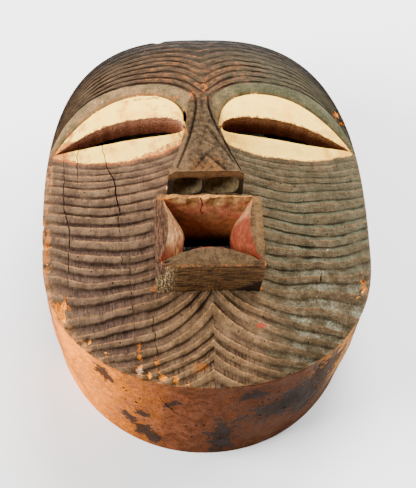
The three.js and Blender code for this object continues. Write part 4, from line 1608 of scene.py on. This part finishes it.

# %% [markdown]
# ## Nose, mouth and slits
#
# The nose is dark, with bare wood in the triangle over its base. The box of the
# mouth is brown, rubbed pale on its upper rim and scratched on its underside,
# where a dark triangle at the right end is a painted shadow of a broken corner.
# Its funnel is red earth: bare on the left lip, brown toward the throat, painted
# near black deeper in as painted shade, and cracked in the roof. The slits show
# plain cut wood, painted darker inward as painted shade.

# %% Nose, mouth and slits
nose_base = mix((50, 40, 30), (108, 80, 52), out.step(180, 192))
triangle = up.step(12, -4) * (across + 1).size().step(16, 10)
nose_wood = coats(
    mix((38, 28, 17), (76, 58, 37), blotch * 0.7 + streak * 0.3),
    ((92, 55, 22), triangle * blotch * 0.9),
    ((86, 64, 42), (across - FEATURE_X).step(-11, -16) * 0.7),
    ((112, 66, 34), up.step(74, 90) * blotch * 0.8),
    (nose_base, up.step(NOSE_BASE_Y + 0.6, NOSE_BASE_Y + 0.1)),
)
nostril_shadow = across.step(-12, -7) * across.step(-4.6, -5.4)

# Painted shadow: a dark triangle at the right end of the box's underside, where its corner is
# broken away.
painted_corner_shadow = ragged(out - across * 0.87 - 138, blotches=4).step(3, -3)
under_box = coats(
    mix((36, 22, 12), (92, 64, 36), cross),
    ((190, 166, 124), across.step(-26, -40) * speck * streak),
    ((22, 15, 11), painted_corner_shadow * 0.9),
)
front_edge = up.step(-91, -93) * out.step(192, 197) * speck * blotch * patch
mouth_wood = coats(
    mix((52, 36, 22), (80, 58, 36), cross * 0.6 + blotch * 0.4),
    ((62, 51, 32), up.step(-76, -82) * blotch * 0.6),
    ((158, 105, 50), up.step(-41, -33) * (0.3 + 0.7 * blotch)),
    (mix((30, 18, 13), (84, 56, 40), streak), across.step(-34, -39) * 0.8),
    ((91, 67, 39), across.step(30, 36) * up.step(-84, -78) * 0.8),
    ((138, 76, 30), front_edge),
    (under_box, up.step(-92.3, -93.3) * out.step(198, 196)),
)

left_lip = coats(
    mix((186, 142, 94), (98, 60, 40), streak * 0.7 + patch * 0.3),
    ((70, 42, 28), across.step(-34, -38) * 0.7),
)
roof_crack = ragged(across + 8, blotches=2).size().step(0.8, 0.3) * out.step(178, 184)
roof = coats(
    mix((162, 88, 66), (122, 94, 58), patch),
    ((158, 116, 64), up.step(-40, -35) * blotch),
    ((138, 86, 50), out.step(186, 168)),
    ((40, 18, 12), roof_crack),
)
red = coats(
    mix((94, 38, 23), (118, 60, 37), patch),
    (left_lip, across.step(-21, -25) * up.step(-84, -70) * (1 - 0.5 * patch)),
    (roof, up.step(-52, -46)),
    # Painted shade: near black deep in the funnel, toward the throat.
    ((44, 20, 13), out.step(164, 146)),
)
slit_wood_and_shade = coats(
    mix((164, 114, 86), (138, 94, 58), right_side),
    # Painted shade: the cut wood of a slit darkens the deeper it lies.
    (mix((118, 74, 50), (90, 50, 28), right_side), sunk.step(-3, 9)),
    ((84, 37, 20), sunk.step(8, 24)),
)
print("with nose, mouth and slits:", len(wood.tree.nodes), "nodes")

# %% [markdown]
# ## One skin
#
# Each face of the mesh carries the number of its zone, which picks its paint.
# Spots of bare orange wood, one of red earth and a few pale ones lie over all.

# %% Skin
finishes = {
    WALL: mix(raw, chip_wood, chipped),
    NOSE: shade(nose_wood, grain * (1 - 0.4 * attribute("incised"))),
    MOUTH: shade(mouth_wood, grain),
    FUNNEL: shade(red, 0.7 + 0.4 * blotch + 0.2 * speck),
    # Painted shade: the hollow behind the face is painted near black.
    HOLLOW: (20, 13, 9),
    SLIT: shade(slit_wood_and_shade, 0.5 + 1.0 * speck),
    NOSTRIL: shade((90, 78, 54), (0.6 + 0.8 * blotch) * (1 - 0.25 * nostril_shadow)),
    CRACK: (24, 16, 12),
}
orange = ragged(attribute("orange"), blotches=0.8, specks=0.4).step(0.5, 0.8)
skin = coats(
    mix(face, chip_wood, chipped),
    *((finish, zone.is_about(number)) for number, finish in finishes.items()),
    ((152, 82, 20), orange * (0.3 + 0.7 * speck)),
    ((140, 58, 40), (attribute("red") + blotch * 0.4).step(0.7, 1.0)),
    ((184, 150, 112), (attribute("pale") + speck * 0.4).step(0.7, 0.9)),
)
print("zones with a paint of their own:", len(finishes))

# %% [markdown]
# ## Finish
#
# Dry wood and clay hardly shine. A bump adds what is too fine to model: fibres
# along the grain and the grit of old paint.

# %% Roughness and bump
grit = fibre * 0.14 + speck * 0.14 + along * 0.2 * zone.is_about(FACE)
bump = wood.node("ShaderNodeBump", {}, {"Height": grit, "Distance": MM, "Strength": 1.0})
wood.tree.links.new(skin, wood.shader.inputs["Base Color"])
wood.tree.links.new((0.8 - 0.16 * patch).socket, wood.shader.inputs["Roughness"])
wood.tree.links.new(bump.outputs["Normal"], wood.shader.inputs["Normal"])
wood.shader.inputs["Specular IOR Level"].default_value = 0.05
print("material with", len(wood.tree.nodes), "nodes")

# %% [markdown]
# ## Into the frame
#
# The carving takes the one painted material, smooth shading with crisp edges, and
# the place of the CAD's mask in the frame.

# %% Put the carving in the frame
SHARP_ANGLE = radians(42)
mask = block
carved.materials.clear()
carved.materials.append(wood.material)
carved.polygons.foreach_set("material_index", np.zeros(len(carved.polygons), int))
carved.shade_smooth()
carved.set_sharp_from_angle(angle=SHARP_ANGLE)
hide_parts("mask")
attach(mask, "root")
